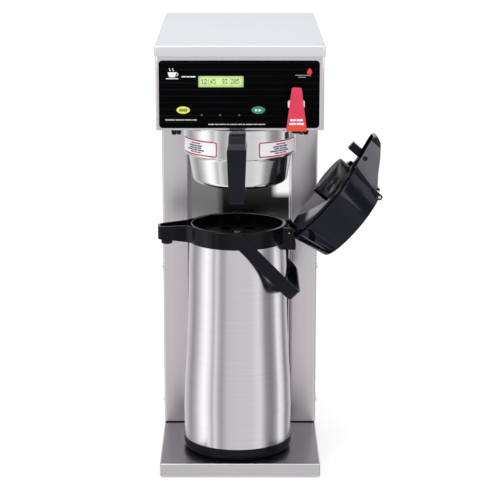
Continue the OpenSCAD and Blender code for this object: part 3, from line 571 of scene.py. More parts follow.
STEEL = (0.79, 0.75, 0.785)
M = {
    "panel": brushed("panel_steel", STEEL, 0.36, (1, 1, 0.002)),
    "level": brushed("level_steel", STEEL, 0.25, (0.002, 1, 1)),
    "pan": brushed("pan_steel", (0.73, 0.7, 0.73), 0.25, (0.002, 1, 1)),
    # A much darker copy of the pan's steel for its top face: painted shade.
    "pan_top": brushed("pan_top_steel", (0.25, 0.245, 0.26), 0.25, (0.002, 1, 1)),
    "cover": brushed("cover_steel", (0.77, 0.8, 0.85), 0.3, (0.002, 1, 1)),
    # A near-white copy of the cover's steel for its front lip: painted light.
    "cover_lip": brushed("cover_lip_steel", (0.97, 0.97, 0.99), 0.3, (0.002, 1, 1)),
    "lens": moulded("smoked_lens", (0.09, 0.09, 0.1), 0.2, 0, 0, 0.5),
    "turned": brushed("turned_steel", (0.8, 0.765, 0.8), 0.16, (0.02, 0.02, 1), 0.75, 0.25),
    "bowl": brushed("bowl_steel", (0.86, 0.85, 0.86), 0.15, (0.02, 0.02, 1), 0.7, 0.25),
    "recess": recess_shade_and_reflection(),
    "chrome": polished("chrome", (0.88, 0.88, 0.89), 0.07),
    "dark_steel": brushed("dark_steel", (0.5, 0.49, 0.5), 0.35, (0.002, 1, 1)),
    "black": moulded("black_plastic", (0.004, 0.004, 0.008), 0.3, 0.1, 0, 0.16),
    "grip": moulded("grip_plastic", (0.005, 0.005, 0.011), 0.2, 0.05, 0, 0.2),
    "collar": moulded("collar_plastic", (0.002, 0.002, 0.005), 0.09, 0.01, 0, 0.2),
    # A darker, duller copy of the collar plastic for the inside of the mouth: painted shade.
    "pit_shade": moulded("pit_shade_plastic", (0.001, 0.001, 0.002), 0.2, 0.01, 0, 0.06),
    "gloss": moulded("gloss_plastic", (0.003, 0.003, 0.009), 0.06, 0.005, 0, 0.26),
    # Lighter and glossier than the collar plastic: the lighter colour is a painted highlight along
    # the rim.
    "bead": moulded("bead_highlight_plastic", (0.03, 0.03, 0.035), 0.1, 0, 1, 1),
    "housing": moulded("housing_plastic", (0.009, 0.009, 0.012), 0.25, 0.05, 0, 0.4),
    "nose_wall": moulded("nose_plastic", (0.12, 0.12, 0.135), 0.35, 0.1, 0, 0.3),
    "grey": moulded("grey_plastic", (0.86, 0.8, 0.81), 0.3),
    "rubber": moulded("rubber", (0.015, 0.015, 0.017), 0.75, 0.2, 0, 0.3),
    "overlay": overlay_black(),
    "window": window_clear(),
    "display": display_green(),
    "board": moulded("circuit_board", (0.02, 0.14, 0.05), 0.4),
    "red": lever_red(),
    "rocker": moulded("rocker_red", (0.6, 0.02, 0.015), 0.3),
    "ivory": moulded("ivory_plastic", (0.8, 0.76, 0.64), 0.4),
    "yellow": moulded("yellow_plastic", (0.75, 0.73, 0.06), 0.3, 0.05),
    "green": moulded("green_plastic", (0.015, 0.27, 0.13), 0.3, 0.05),
    "label": label_white(),
    "crimson": ink("crimson_ink", (0.42, 0.008, 0.07)),
    "dark_ink": ink("dark_ink", (0.04, 0.05, 0.07)),
    "white_ink": ink("white_ink", (0.75, 0.76, 0.76)),
    "faint_ink": ink("faint_ink", (0.36, 0.36, 0.34)),
    "red_ink": ink("red_ink", (0.7, 0.02, 0.04)),
    "display_ink": ink("display_ink", (0.002, 0.008, 0.002)),
    "silicone": moulded("silicone_red", (0.5, 0.06, 0.04), 0.6),
    "brass": polished("brass", (0.7, 0.5, 0.2), 0.25),
    "copper": polished("copper", (0.72, 0.38, 0.25), 0.25),
}
SLOT_MATERIAL = {
    "brushed_steel": "panel", "dark_steel": "dark_steel", "cover_steel": "cover",
    "polished_steel": "chrome", "black_plastic": "black", "grey_plastic": "grey",
    "gloss_black": "overlay", "rubber": "rubber", "clear_window": "window",
    "lcd_green": "display", "circuit_board": "board", "red_plastic": "red",
    "ivory_plastic": "ivory", "yellow_button": "yellow", "green_button": "green",
    "white_label": "label", "silicone_red": "silicone", "brass": "brass", "copper": "copper",
}


def paint_cad_nodes():
    """Gives every CAD node the material of its slot; many are then stood for by a piece."""
    for part in frame["record"]["subparts"]:
        node = frame["nodes"][part["node"]]
        node.data.materials.clear()
        node.data.materials.append(M[SLOT_MATERIAL[part["material_slot"]]])
    # The neck insert deep in the mouth takes the pit material, which is painted shade.
    for name, material in (("power_rocker", "rocker"), ("vacuum_liner", "chrome"),
            ("funnel_rails", "level"), ("lever_pin", "chrome"), ("neck_insert", "pit_shade"),
            ("head_bottom_panel", "level")):
        frame["nodes"][name].data.materials[0] = M[material]


# ---- cabinet ----


def tray(name, box, corner, edge, sheet, flange):
    """A folded tray, open below: rounded corners and edge, and a flange turned in at the rim."""
    outside = prism(name, box.plan(0, corner), "xy", box.low.z, box.high.z)
    bm = bmesh.new()
    bm.from_mesh(outside.data)
    rim = [e for e in bm.edges if all(abs(v.co.z - box.high.z) < 1e-6 for v in e.verts)]
    bmesh.ops.bevel(bm, geom=rim, offset=edge, segments=5, profile=0.5, affect="EDGES")
    bm.to_mesh(outside.data)
    bm.free()
    floor_z = box.low.z + (sheet if flange > sheet else -sheet)
    cut(outside, prism("hollow", box.plan(-2 * sheet, corner / 2), "xy", floor_z,
        box.high.z - sheet))
    if flange > sheet:
        opening = box.plan(-2 * flange, corner / 2)
        cut(outside, prism("opening", opening, "xy", box.low.z - sheet, box.low.z + 2 * sheet))
    return outside


def base_pan():
    pan = tray("base_pan_tray", PAN, 3, 1.6 * MM, 1.2 * MM, 10 * MM)
    # The pan's flat top gets the darker copy of its steel: painted shade.
    two_tone(pan, "pan", "pan_top", lambda face: face.normal.z > 0.99)
    piece(pan, None, "brewer", ["base_pan"])


def top_cover():
    cover = tray("top_cover_shell", COVER, 3, 2.2 * MM, 1.2 * MM, 0)
    # The cover's front faces get the near-white copy of its steel: painted light on the lip.
    two_tone(cover, "cover", "cover_lip", lambda face: face.normal.y < -0.9)
    piece(cover, None, "brewer", ["top_cover"])


def column_front_panel():
    """The column's front: two flanges and the dished middle, folded from one sheet."""
    sheet = 1.2 * MM
    edge = 75.5 * MM
    depth = 14 * MM
    front, side = COLUMN.low.y, COLUMN.low.x
    left = [(side, COLUMN.high.y), (side, front), (-edge, front), (-edge + 1 * MM, front + depth)]
    path = left + [(-x, y) for x, y in left[::-1]]
    path = rounded(path, [0, 4, 3, 4, 4, 3, 4, 0], closed=False)
    panel = prism("column_panel", strip(path, sheet), "xy", COLUMN.low.z + 1.8 * MM, COLUMN.high.z)
    # The dished middle takes the recess material: painted shade and painted reflections on the same
    # steel sheet.
    two_tone(panel, "panel", "recess", lambda face: abs(face.center.x) < edge - 1.5 * MM
        and abs(face.normal.y) > 0.9)
    piece(panel, None, "brewer", ["column_front_panel"], smooth=50)


def rail_stops():
    """The black stops at the front ends of the funnel's rails."""
    box = Box("rail_stops")
    low, high = box.low.z, box.high.z
    stops = []
    for side in (-1, 1):
        outline = [(side * 85.2 * MM, high), (side * 94 * MM, high), (side * 92.4 * MM, low),
            (side * 87 * MM, low)]
        stops.append(bevel(prism("stop", outline, "xz", box.low.y, box.high.y), 0.5, 2))
    piece(join("rail_stop_pads", stops), "black", "brewer", ["rail_stops"])


def head_front_frame():
    """The folded front of the head, behind the control overlay."""
    sheet = 1.2 * MM
    left = [(HEAD.low.x, HEAD.high.y), (HEAD.low.x, HEAD.low.y)]
    path = left + [(-x, y) for x, y in left[::-1]]
    path = rounded(path, [0, 3, 3, 0], closed=False)
    front = prism("head_frame", strip(path, sheet), "xy", HEAD.low.z, HEAD.high.z)
    bevel(front, 0.3, 2, 60)
    deep = (HEAD.low.y - 5 * MM, HEAD.low.y + 5 * MM)
    cut(front, prism("window", DISPLAY.front(3 * MM), "xz", *deep))
    piece(front, "level", "brewer", ["head_front_frame"])


def cross_screw(base, direction, radius, height):
    """A pan-head screw with a cross recess: its head only, standing on a surface."""
    profile = [(0, 0), (radius, 0)]
    profile += arc(radius - height * 0.8, height * 0.2, height * 0.8, 0, 90, 6)
    profile += [(0, height)]
    head = lathe("screw_head", profile, (0, 0), 32)
    arm = radius * 0.55
    for turn in (0, 90):
        slot = prism("slot", rectangle(0, 0, 2 * arm, 0.22 * radius), "xy", height * 0.45,
            height * 2)
        cut(head, moved(slot, Matrix.Rotation(math.radians(turn), 4, "Z")))
    return aimed(head, base, direction)


def panel_screws():
    """Every cabinet screw: two columns on each side, three rows at the back, two on the cover."""
    screws = Box("panel_screws")
    heads = []
    for side in (-1, 1):
        x = side * PAN.high.x
        for y in (8 * MM, 195 * MM):
            for z in (49 * MM, 259 * MM):
                heads.append(cross_screw((x, y, z), (side, 0, 0), 4.2 * MM, 2.8 * MM))
        for z in (100 * MM, 330 * MM, 590 * MM):
            heads.append(cross_screw((side * 100 * MM, PAN.high.y, z), (0, 1, 0), 4.2 * MM,
                2.2 * MM))
        heads.append(cross_screw((side * 60 * MM, COVER.high.y, COVER.low.z + 4.8 * MM), (0, 1, 0),
            3.6 * MM, min(2 * MM, screws.high.y - COVER.high.y)))
    piece(join("cabinet_screws", heads), "chrome", "brewer", ["panel_screws"])


# ---- control panel ----


BUTTONS = {"button_yellow": "yellow", "button_green": "green"}
LAMP_X = (-52 * MM, -27 * MM, -1 * MM)


def control_overlay():
    plate = prism("overlay_plate", OVERLAY.front(0, 5), "xz", OVERLAY.low.y, OVERLAY.high.y)
    bevel(plate, 0.9, 4)
    deep = (OVERLAY.low.y - 5 * MM, OVERLAY.high.y + 5 * MM)
    holes = [DISPLAY.front(0, 0.6)]
    for box in map(Box, BUTTONS):
        holes.append(oval(box.mid.x, box.mid.z, box.size.x + 0.8 * MM, box.size.z + 0.8 * MM))
    holes += [oval(x, LAMPS.mid.z, 3.2 * MM, 3.2 * MM, 24) for x in LAMP_X]
    holes.append(oval(LEVER.mid.x, Box("faucet_body").mid.z + 9.5 * MM, 15 * MM, 15 * MM))
    for hole in holes:
        cut(plate, prism("hole", hole, "xz", *deep))
    piece(plate, "overlay", "brewer", ["control_overlay"])


def ink_bars(name, shapes, front, back):
    """Thin solids with these outlines, which face the front."""
    return join(name, [prism("ink", shape, "xz", front, back) for shape in shapes])


def printed(name, shapes, material, surface, body="brewer", proud=0.06, sunk=0.02):
    """Ink on a surface that faces the front, from proud of it to sunk in it, in millimetres."""
    piece(ink_bars(name, shapes, surface - proud * MM, surface + sunk * MM), material, body)


def caption(x, z, widths, height=1.0 * MM, gap=0.9 * MM):
    """A line of blank bars in place of words, starting at x, with widths in millimetres."""
    bars = []
    for width in [w * MM for w in widths]:
        bars.append(rectangle(x + width / 2, z, width, height))
        x += width + gap
    return bars


def cup_mark(x, z, size):
    """A plain cup with a handle and two wisps of steam."""
    cup = rounded([(x - 0.32 * size, z - 0.32 * size), (x + 0.22 * size, z - 0.32 * size),
        (x + 0.36 * size, z + 0.14 * size), (x - 0.46 * size, z + 0.14 * size)],
        [0.1 * size / MM, 0.1 * size / MM, 0, 0])
    saucer = rounded(rectangle(x - 0.05 * size, z - 0.44 * size, 1.1 * size, 0.08 * size),
        0.03 * size / MM)
    handle = strip(arc(x + 0.36 * size, z - 0.05 * size, 0.15 * size, 100, -100, 14), -0.06 * size)
    steam = []
    for shift in (-0.22, 0.08):
        wave = [(x + (shift + 0.05 * math.sin(t * math.pi * 2 / 10)) * size,
            z + (0.22 + 0.026 * t) * size) for t in range(11)]
        steam.append(strip(wave, 0.06 * size))
    return [cup, saucer, handle, *steam]


def overlay_marks():
    """Generic marks where a maker would print words."""
    face = OVERLAY.low.y
    left, low, high = OVERLAY.low.x, OVERLAY.low.z, OVERLAY.high.z
    white = cup_mark(left + 19 * MM, high - 18 * MM, 15 * MM)
    white += caption(left + 31 * MM, high - 22 * MM, [6, 4, 7], 1.6 * MM)
    white += caption(left + 67 * MM, low + 5.4 * MM, (8, 5, 9, 4, 9, 6, 4, 9, 6, 9), 0.9 * MM)
    printed("overlay_print_white", white, "white_ink", face)
    faint = caption(left + 8.6 * MM, low + 11.5 * MM, (13, 12, 9, 6), 1.9 * MM)
    faint += caption(OVERLAY.high.x - 33 * MM, high - 20 * MM, [10, 10], 0.9 * MM)
    faint += caption(OVERLAY.high.x - 29 * MM, high - 22.6 * MM, [10], 0.8 * MM)
    printed("overlay_print_faint", faint, "faint_ink", face)
    x, z = OVERLAY.high.x - 14 * MM, high - 14.6 * MM
    drop = [(x + 4.6 * MM * math.sin(t) * math.sin(t / 2), z + 4.4 * MM * math.cos(t))
        for t in [2 * math.pi * i / 40 for i in range(40)]]
    printed("overlay_print_red", [drop], "red_ink", face)


def push_button(node, tint):
    """A domed oval key that stands in the overlay, with a bar or an arrow for a mark."""
    box = Box(node)
    rings = []
    face = OVERLAY.low.y - 1.2 * MM
    back = OVERLAY.high.y - 0.9 * MM
    for inset, y in ((0, back), (0, face + 0.7 * MM), (0.25, face + 0.35 * MM),
            (0.9, face + 0.1 * MM), (2.2, face + 0.02 * MM), (3.8, face)):
        outline = oval(box.mid.x, box.mid.z, box.size.x - 2 * inset * MM,
            box.size.z - 2 * inset * MM)
        rings.append([(x, y, z) for x, z in outline])
    key = loft(node + "_key", rings)
    post = rod("post", 3, 6, (box.mid.x, back - 0.2 * MM, box.mid.z), (0, 1, 0), 24)
    unite(key, post)
    piece(key, tint, node, [node], smooth=30)
    x, z = box.mid.x, box.mid.z
    if tint == "yellow":
        shapes = [rectangle(x + shift * MM, z, 2 * MM, 3.6 * MM, 0.3) for shift in (-4.2, -1.4, 1.4,
            4.2)]
        colour = "dark_ink"
    else:
        shapes = [rounded([(x + shift * MM, z - 2.1 * MM), (x + (shift + 4) * MM, z),
            (x + shift * MM, z + 2.1 * MM)], 0.3) for shift in (-4.4, 0.4)]
        colour = "white_ink"
    printed(node + "_mark", shapes, colour, face, node, 0.05, 0.3)


DIGITS = {
    "0": "01110 10001 10011 10101 11001 10001 01110",
    "1": "00100 01100 00100 00100 00100 00100 01110",
    "2": "01110 10001 00001 00010 00100 01000 11111",
    "3": "11111 00010 00100 00010 00001 10001 01110",
    "4": "00010 00110 01010 10010 11111 00010 00010",
    "5": "11111 10000 11110 00001 00001 10001 01110",
    "9": "01110 10001 10001 01111 00001 00010 01100",
    ":": "00000 00100 00100 00000 00100 00100 00000",
    " ": "00000 00000 00000 00000 00000 00000 00000",
}


def display():
    """The display: a lit face, a row of plain digits, and the clear window."""
    face_y = OVERLAY.high.y + 0.4 * MM
    body = Box("lcd_module")
    panel = prism("display_module", body.front(), "xz", face_y, body.high.y)
    bevel(panel, 0.4, 2)
    piece(panel, "display", "brewer", ["lcd_module"])
    pitch, rise = 0.667 * MM, 0.98 * MM
    left = DISPLAY.low.x + 4.4 * MM
    top = DISPLAY.mid.z + 3 * rise
    dots = []
    for place, digit in enumerate("12:45  93 205"):
        for row, cells in enumerate(DIGITS[digit].split()):
            for column, cell in enumerate(cells):
                if cell == "1":
                    dots.append(rectangle(left + (place * 6 + column) * pitch, top - row * rise,
                        0.65 * MM, 0.96 * MM))
    printed("display_digits", dots, "display_ink", face_y, proud=0.05)
    window = prism("display_window", DISPLAY.front(-0.1 * MM, 0.5), "xz", OVERLAY.low.y + 0.25 * MM,
        OVERLAY.low.y + 0.85 * MM)
    piece(window, "window", "brewer", ["lcd_window"])


def indicator_lights():
    """Three small domed lenses."""
    lenses = []
    depth = LAMPS.size.y - 0.3 * MM
    for x in LAMP_X:
        profile = [(0, 0), (1.5 * MM, 0), (1.5 * MM, depth - 0.9 * MM)]
        profile += [(1.35 * MM, depth - 0.4 * MM), (0.9 * MM, depth - 0.1 * MM), (0, depth)]
        lenses.append(turned("lens", profile, (x, LAMPS.high.y, LAMPS.mid.z), (0, -1, 0), 24))
    piece(join("indicator_lenses", lenses), "lens", "brewer", ["indicator_lights"])


# ---- hot-water faucet ----


def faucet_lever():
    """The red lever: a tapered plate with a hub behind its top."""
    box = LEVER
    front, x = box.low.y, box.mid.x
    thick = 3.5 * MM
    wide, narrow = box.size.x / 2, 6.5 * MM
    outline = rounded([(x - wide, box.low.z), (x + wide, box.low.z), (x + narrow, box.high.z),
        (x - narrow, box.high.z)], [1.6, 1.6, 2.5, 2.5])
    lever = bevel(prism("faucet_paddle", outline, "xz", front, front + thick), 0.9, 4)
    pivot = JOINTS["faucet_lever"]
    arm = prism("arm", rectangle((front + 3 * MM + pivot.y) / 2, pivot.z, pivot.y - front - 3 * MM,
        10 * MM), "yz", x - 2.5 * MM, x + 2.5 * MM)
    hub = rod("hub", 5, 5, (x - 2.5 * MM, pivot.y, pivot.z), (1, 0, 0))
    unite(lever, arm, hub)
    bore = rod("bore", 1.8, 12, (x - 6 * MM, pivot.y, pivot.z), (1, 0, 0), 32)
    cut(lever, bore)
    piece(lever, "red", "faucet_lever", ["faucet_lever"], smooth=45)
    bars = []
    for z, widths in ((15.3, (7.4, 8.4)), (10.2, (9, 9.8))):
        total = sum(widths) * MM + 1.2 * MM
        bars += caption(x - total / 2, box.low.z + z * MM, widths, 2.7 * MM, 1.2 * MM)
    printed("faucet_paddle_print", bars, "white_ink", front, "faucet_lever")


def faucet_parts():
    """The faucet's body with its spout, and the ivory bonnet above it."""
    box = Box("faucet_body")
    centre = JOINTS["faucet_lever"]
    low = box.low.z
    profile = rounded([(4.6 * MM, low), (6 * MM, low), (6 * MM, low + 11 * MM),
        (8.5 * MM, low + 12.5 * MM), (8.5 * MM, 536 * MM), (4.6 * MM, 536 * MM)],
        [0.4, 0.8, 1.5, 1.5, 0.6, 0])
    body = lathe("faucet_valve_body", profile, centre, 64)
    shank = turned("shank", corners(3 * MM, 6.5 * MM, 0, box.high.y - centre.y - 7 * MM),
        (centre.x, centre.y + 7 * MM, 528 * MM), (0, 1, 0))
    unite(body, shank)
    piece(body, "black", "brewer", ["faucet_body"])
    cap = Box("faucet_bonnet")
    profile = rounded(corners(2.6 * MM, 11.5 * MM, cap.low.z, cap.low.z + 9 * MM),
        [0, 0.8, 1.2, 0.5])
    bonnet = lathe("faucet_cap", profile, centre, 64)
    for i in range(16):
        a = 2 * math.pi * i / 16
        flute = rod("flute", 1.1, 12, (centre.x + 12 * MM * math.cos(a),
            centre.y + 12 * MM * math.sin(a), cap.low.z - 1 * MM), (0, 0, 1), 16)
        cut(bonnet, flute)
    for side in (-1, 1):
        ear = prism("ear", rounded(corners(centre.y - 4 * MM, centre.y + 4 * MM, cap.low.z + 8 * MM,
            cap.high.z), [0, 0, 3.5, 3.5]), "yz", centre.x + side * 4.15 * MM - 1.35 * MM,
            centre.x + side * 4.15 * MM + 1.35 * MM)
        unite(bonnet, ear)
    piece(bonnet, "ivory", "brewer", ["faucet_bonnet"])


# ---- brew funnel ----


def brew_funnel():
    """The spun funnel: a straight band, a rolled step, and a bowl that rounds under."""
    top, low = FUNNEL.high.z, FUNNEL.low.z
    step = low + 56 * MM
    base = low + 12 * MM
    path = rounded([(79.5 * MM, top), (79.5 * MM, step + 1.2 * MM), (77.9 * MM, step - 0.8 * MM),
        (73.4 * MM, step - 1.2 * MM), (72.4 * MM, step - 4 * MM), (66.6 * MM, base + 4 * MM),
        (58 * MM, base), (10 * MM, base - 3 * MM), (9 * MM, base - 5 * MM), (9 * MM, low)],
        [0, 1.6, 1.4, 0.9, 3, 9, 7, 1.4, 1, 0], closed=False, steps=8)
    bowl = lathe("funnel_bowl", strip(path, -1 * MM), FUNNEL_AXIS, 160)
    rim = rounded(corners(78.2 * MM, 80.4 * MM, top - 1.8 * MM, top), 0.8)
    unite(bowl, lathe("rim", rim, FUNNEL_AXIS, 160))
    for side in (0, 180):
        plan = arc(0, 0, 84 * MM, side - 44.4, side + 44.4, 24) + arc(0, 0, 79 * MM, side + 41,
            side - 41, 24)
        plan = [(FUNNEL_AXIS.x + x, FUNNEL_AXIS.y + y) for x, y in plan]
        ear = prism("flange", plan, "xy", top - 5 * MM, top - 3 * MM)
        unite(bowl, ear)
    piece(bowl, "bowl", "funnel", ["brew_funnel"], smooth=50)


def funnel_handle():
    """The black grip: a neck out from the band, a sloping shoulder and a straight grip."""
    front, back = -240 * MM, -195 * MM
    low, high = GRIP.low.z, GRIP.high.z
    thick = 14 * MM
    side = [(back, high), (front + 15 * MM, high), (front + 7.5 * MM, high - 9.5 * MM),
        (front, high - 17 * MM), (front, low), (front + thick, low),
        (front + thick, high - 18 * MM), (back, high - 18 * MM)]
    side = rounded(side, [0, 3, 2, 2.5, 5, 5, 4, 0])
    handle = prism("funnel_grip", side, "yz", -20 * MM, 20 * MM)
    x = FUNNEL_AXIS.x
    half = 13.35 * MM
    right = [(8.5 * MM, low), (10.5 * MM, low + 3 * MM), (half, high - 19 * MM),
        (11.5 * MM, high - 10 * MM), (11.5 * MM, high + 1 * MM)]
    face = [(x + u, v) for u, v in right] + [(x - u, v) for u, v in right[::-1]]
    face = rounded(face, [2, 2, 6, 3, 0, 0, 3, 6, 2, 2])
    overlap(handle, prism("face", face, "xz", front - 10 * MM, back + 10 * MM))
    bevel(handle, 2, 5, 35)
    cut(handle, lathe("band", corners(0, 79.52 * MM, low, high + 5 * MM), FUNNEL_AXIS, 160))
    moved(handle, about(FUNNEL_AXIS, FUNNEL_TURN, "Z"))
    piece(handle, "grip", "funnel", ["funnel_handle"], smooth=40)


def wrapped(obj, radius, angle):
    """Bends a flat solid round the funnel: x becomes distance round it, y depth below its face."""
    centre = FUNNEL_AXIS
    bm = bmesh.new()
    bm.from_mesh(obj.data)
    low = min(v.co.x for v in bm.verts)
    high = max(v.co.x for v in bm.verts)
    cuts = max(1, int((high - low) / (1.5 * MM)))
    for i in range(1, cuts):
        bmesh.ops.bisect_plane(bm, geom=bm.verts[:] + bm.edges[:] + bm.faces[:],
            plane_co=(low + (high - low) * i / cuts, 0, 0), plane_no=(1, 0, 0))
    for v in bm.verts:
        a = angle + v.co.x / radius
        r = radius - v.co.y
        v.co = (centre.x + r * math.cos(a), centre.y + r * math.sin(a), v.co.z)
    bmesh.ops.recalc_face_normals(bm, faces=bm.faces)
    bm.to_mesh(obj.data)
    bm.free()
    return obj


def funnel_labels():
    """Two labels: a white plate, a crimson border, and bars in place of the words."""
    radius = 79.5 * MM
    span = math.radians(54) * radius
    mid, height = LABELS.mid.z + 3.6 * MM, LABELS.size.z
    lines = [(6, 20, "crimson"), (2.6, 30, "dark_ink"), (-0.4, 26, "dark_ink"),
        (-3.4, 40, "dark_ink"), (-6.4, 24, "crimson")]
    for side, name in ((-1, "left"), (1, "right")):
        angle = math.radians(-90 + side * 48) + FUNNEL_TURN
        plate = prism("label_plate_" + name, rectangle(0, mid, span, height, 3), "xz", -0.2 * MM, 0)
        piece(wrapped(plate, radius, angle), "label", "funnel", ["funnel_labels"]
            if side < 0 else ())
        border = ring_prism("label_border_" + name, rectangle(0, mid, span - 0.6 * MM,
            height - 0.6 * MM, 2.8), rectangle(0, mid, span - 4 * MM, height - 4 * MM, 1.6), "xz",
            -0.26 * MM, -0.19 * MM)
        piece(wrapped(border, radius, angle), "crimson", "funnel")
        for colour in ("crimson", "dark_ink"):
            bars = []
            for z, width, line_colour in lines:
                if line_colour == colour:
                    words = (0.34, 0.22, 0.3)
                    bars += caption(-width / 2 * MM, mid + z * MM, [w * width for w in words],
                        1.9 * MM)
            text = ink_bars("label_bars_" + colour + "_" + name, bars, -0.26 * MM, -0.19 * MM)
            piece(wrapped(text, radius, angle), colour, "funnel")


# ---- airpot ----


def airpot_body():
    """The outer jacket: a straight skirt that narrows gently to the collar."""
    low, high = POT.low.z, POT.high.z
    path = [(77.6, 0), (77.8, 46), (76.4, 88), (74.4, 120), (72.6, 157), (71.2, 194), (70.4, 225),
        (70.1, 254), (69.4, 270), (69, 279), (69, 291)]
    scale = (high - low) / (291 * MM)
    path = [(r * MM, low + h * MM * scale) for r, h in path]
    path = rounded(path, [0, 90, 90, 90, 90, 90, 60, 40, 20, 20, 0], closed=False, steps=4)
    jacket = lathe("airpot_jacket", strip(path, 1 * MM), POT_AXIS, 192)
    piece(jacket, "turned", "airpot", ["airpot_body"], smooth=60)


def airpot_base_ring():
    """The black foot ring, with a small groove under its lip."""
    r = RING.size.x / 2
    low, high = RING.low.z, RING.high.z
    profile = rounded([(0, low), (r - 5 * MM, low), (r - 1.5 * MM, low + 4 * MM), (r, low + 8 * MM),
        (r, high), (r - 4 * MM, high), (r - 4 * MM, low + 4 * MM), (0, low + 4 * MM)],
        [0, 2, 3, 4, 0.8, 0.3, 1, 0])
    piece(lathe("airpot_foot", profile, POT_AXIS, 160), "black", "airpot",
        ["airpot_base_ring"], smooth=50)


def nose_plan(inset):
    """The collar's nose seen from above: it flares from its end into the collar's wall."""
    side = [(-50, 46), (-57, 37), (-64, 28), (-72, 21.5), (-88, 17), (-113.5, 13)]
    side = [(x, y - inset) for x, y in side[:-1]] + [(-113.5 + inset, 13 - inset)]
    plan = [(0, 46 - inset)] + side + [(x, -y) for x, y in side[::-1]] + [(0, inset - 46)]
    radii = [0, 0, 8, 8, 12, 30, 8, 8, 30, 12, 8, 8, 0, 0]
    plan = rounded([(x * MM, y * MM) for x, y in plan], radii, steps=8)
    return [(POT_AXIS.x + x, POT_AXIS.y + y) for x, y in plan]


def airpot_collar():
    """The collar: a ring with the pouring nose, its outlet and the hinge block."""
    low, high = 329 * MM, 354 * MM
    x, y = POT_AXIS.x, POT_AXIS.y
    collar = lathe("collar_ring", rounded(corners(0, 70 * MM, low, high), [0, 1.2, 1.6, 0]),
        POT_AXIS, 160)
    nose = prism("nose", nose_plan(0), "xy", low, low + 40 * MM)
    slab = [(x, low + 1 * MM), (x - 70 * MM, low + 1 * MM), (x - 115 * MM, low + 3 * MM),
        (x - 115 * MM, high - 4 * MM), (x - 68 * MM, high), (x, high)]
    overlap(nose, prism("slab", slab, "xz", y - 60 * MM, y + 60 * MM))
    unite(collar, bevel(nose, 1.5, 4, 50))
    spout = turned("outlet", rounded(corners(0, 8 * MM, 0, 8 * MM), [0, 1, 0, 0]),
        (x - 101 * MM, y, low - 5 * MM), (0, 0, 1))
    unite(collar, spout)
    hinge = LID_HINGE
    block = prism("hinge_block", rectangle(67.5 * MM, y, 23 * MM, 62 * MM), "xy", 321 * MM,
        331 * MM)
    unite(collar, bevel(block, 1.2, 3))
    for side in (-1, 1):
        outline = [(60 * MM, 325 * MM), (hinge.x + 7 * MM, 325 * MM)] + arc(hinge.x, hinge.z,
            7 * MM, 0, 90, 10)
        outline += [(60 * MM, hinge.z + 7 * MM)]
        ear = prism("hinge_ear", outline, "xz", y + side * 28 * MM - 3 * MM,
            y + side * 28 * MM + 3 * MM)
        unite(collar, bevel(ear, 0.6, 2))
        boss = turned("bail_boss", rounded(corners(0, 7.6 * MM, 0, 11.5 * MM), [0, 0, 1, 0]),
            (x, y + side * 60 * MM, BAIL_PIVOT.z), (0, side, 0))
        unite(collar, boss)
    mouth = lathe("mouth", [(0, low - 9 * MM), (42 * MM, low - 9 * MM), (42 * MM, low + 6 * MM),
        (60 * MM, low + 6 * MM), (60 * MM, low + 11 * MM), (64 * MM, low + 11 * MM),
        (64 * MM, high - 1.6 * MM), (66.4 * MM, high - 1.6 * MM), (66.4 * MM, high + 20 * MM),
        (0, high + 20 * MM)], POT_AXIS, 160)
    trough = prism("trough", nose_plan(3), "xy", low + 5 * MM, high + 20 * MM)
    overlap(trough, prism("room", rectangle(x - 85 * MM, y, 80 * MM, 60 * MM), "xy", low,
        high + 30 * MM))
    neck = lathe("neck", corners(0, 69.05 * MM, low - 12 * MM, low), POT_AXIS, 160)
    bore = rod("bore", 5, 20, (x - 101 * MM, y, low - 10 * MM), (0, 0, 1))
    pin = rod("pin", 2.5, 80, (hinge.x, y - 40 * MM, hinge.z), (0, 1, 0))
    barrel_room = rod("barrel_room", 5.5, 49.6, (hinge.x, y - 24.8 * MM, hinge.z), (0, 1, 0))
    cut(collar, mouth, trough, neck, bore, pin, barrel_room)
    for side in (-1, 1):
        stud = rod("stud", 4.1, 20, (x, y + side * 62 * MM, BAIL_PIVOT.z), (0, side, 0))
        cut(collar, stud)
    bevel(collar, 0.35, 2, 55)

    def inside(face):
        out = face.center - POT_AXIS
        return (math.hypot(out.x, out.y) < 64.5 * MM and face.center.z < high - 2 * MM
            and out.xy.dot(face.normal.xy) <= 0)

    # The faces inside the mouth get the darker, duller pit material: painted shade.
    two_tone(collar, "collar", "pit_shade", inside)
    piece(collar, None, "airpot", ["airpot_collar"], smooth=40)
    # The bead ring at the mouth's rim takes the lighter bead material, partly a painted highlight.
    bead = lathe("collar_bead", [(r + 65.5 * MM, z + high - 0.9 * MM) for r, z in arc(0, 0,
        0.85 * MM, 0, 330, 11)], POT_AXIS, 160)
    piece(bead, "bead", "airpot")


def hinge_pin():
    """The lid's dark hinge pin, with the small bright end of its core at each side."""
    box = Box("lid_hinge_pin")
    place = (LID_HINGE.x, box.low.y, LID_HINGE.z)
    length = box.size.y
    pin = turned("lid_pin", rounded(corners(0, 2.45 * MM, 0, length), [0, 0.4, 0.4, 0]), place,
        (0, 1, 0), 32)
    piece(pin, "black", "airpot", ["lid_hinge_pin"])
    cores = [rod("core", 0.8, 0.6, (LID_HINGE.x, end, LID_HINGE.z), (0, way, 0), 16)
        for end, way in ((box.low.y + 0.5 * MM, -1), (box.high.y - 0.5 * MM, 1))]
    piece(join("lid_pin_cores", cores), "chrome", "airpot")


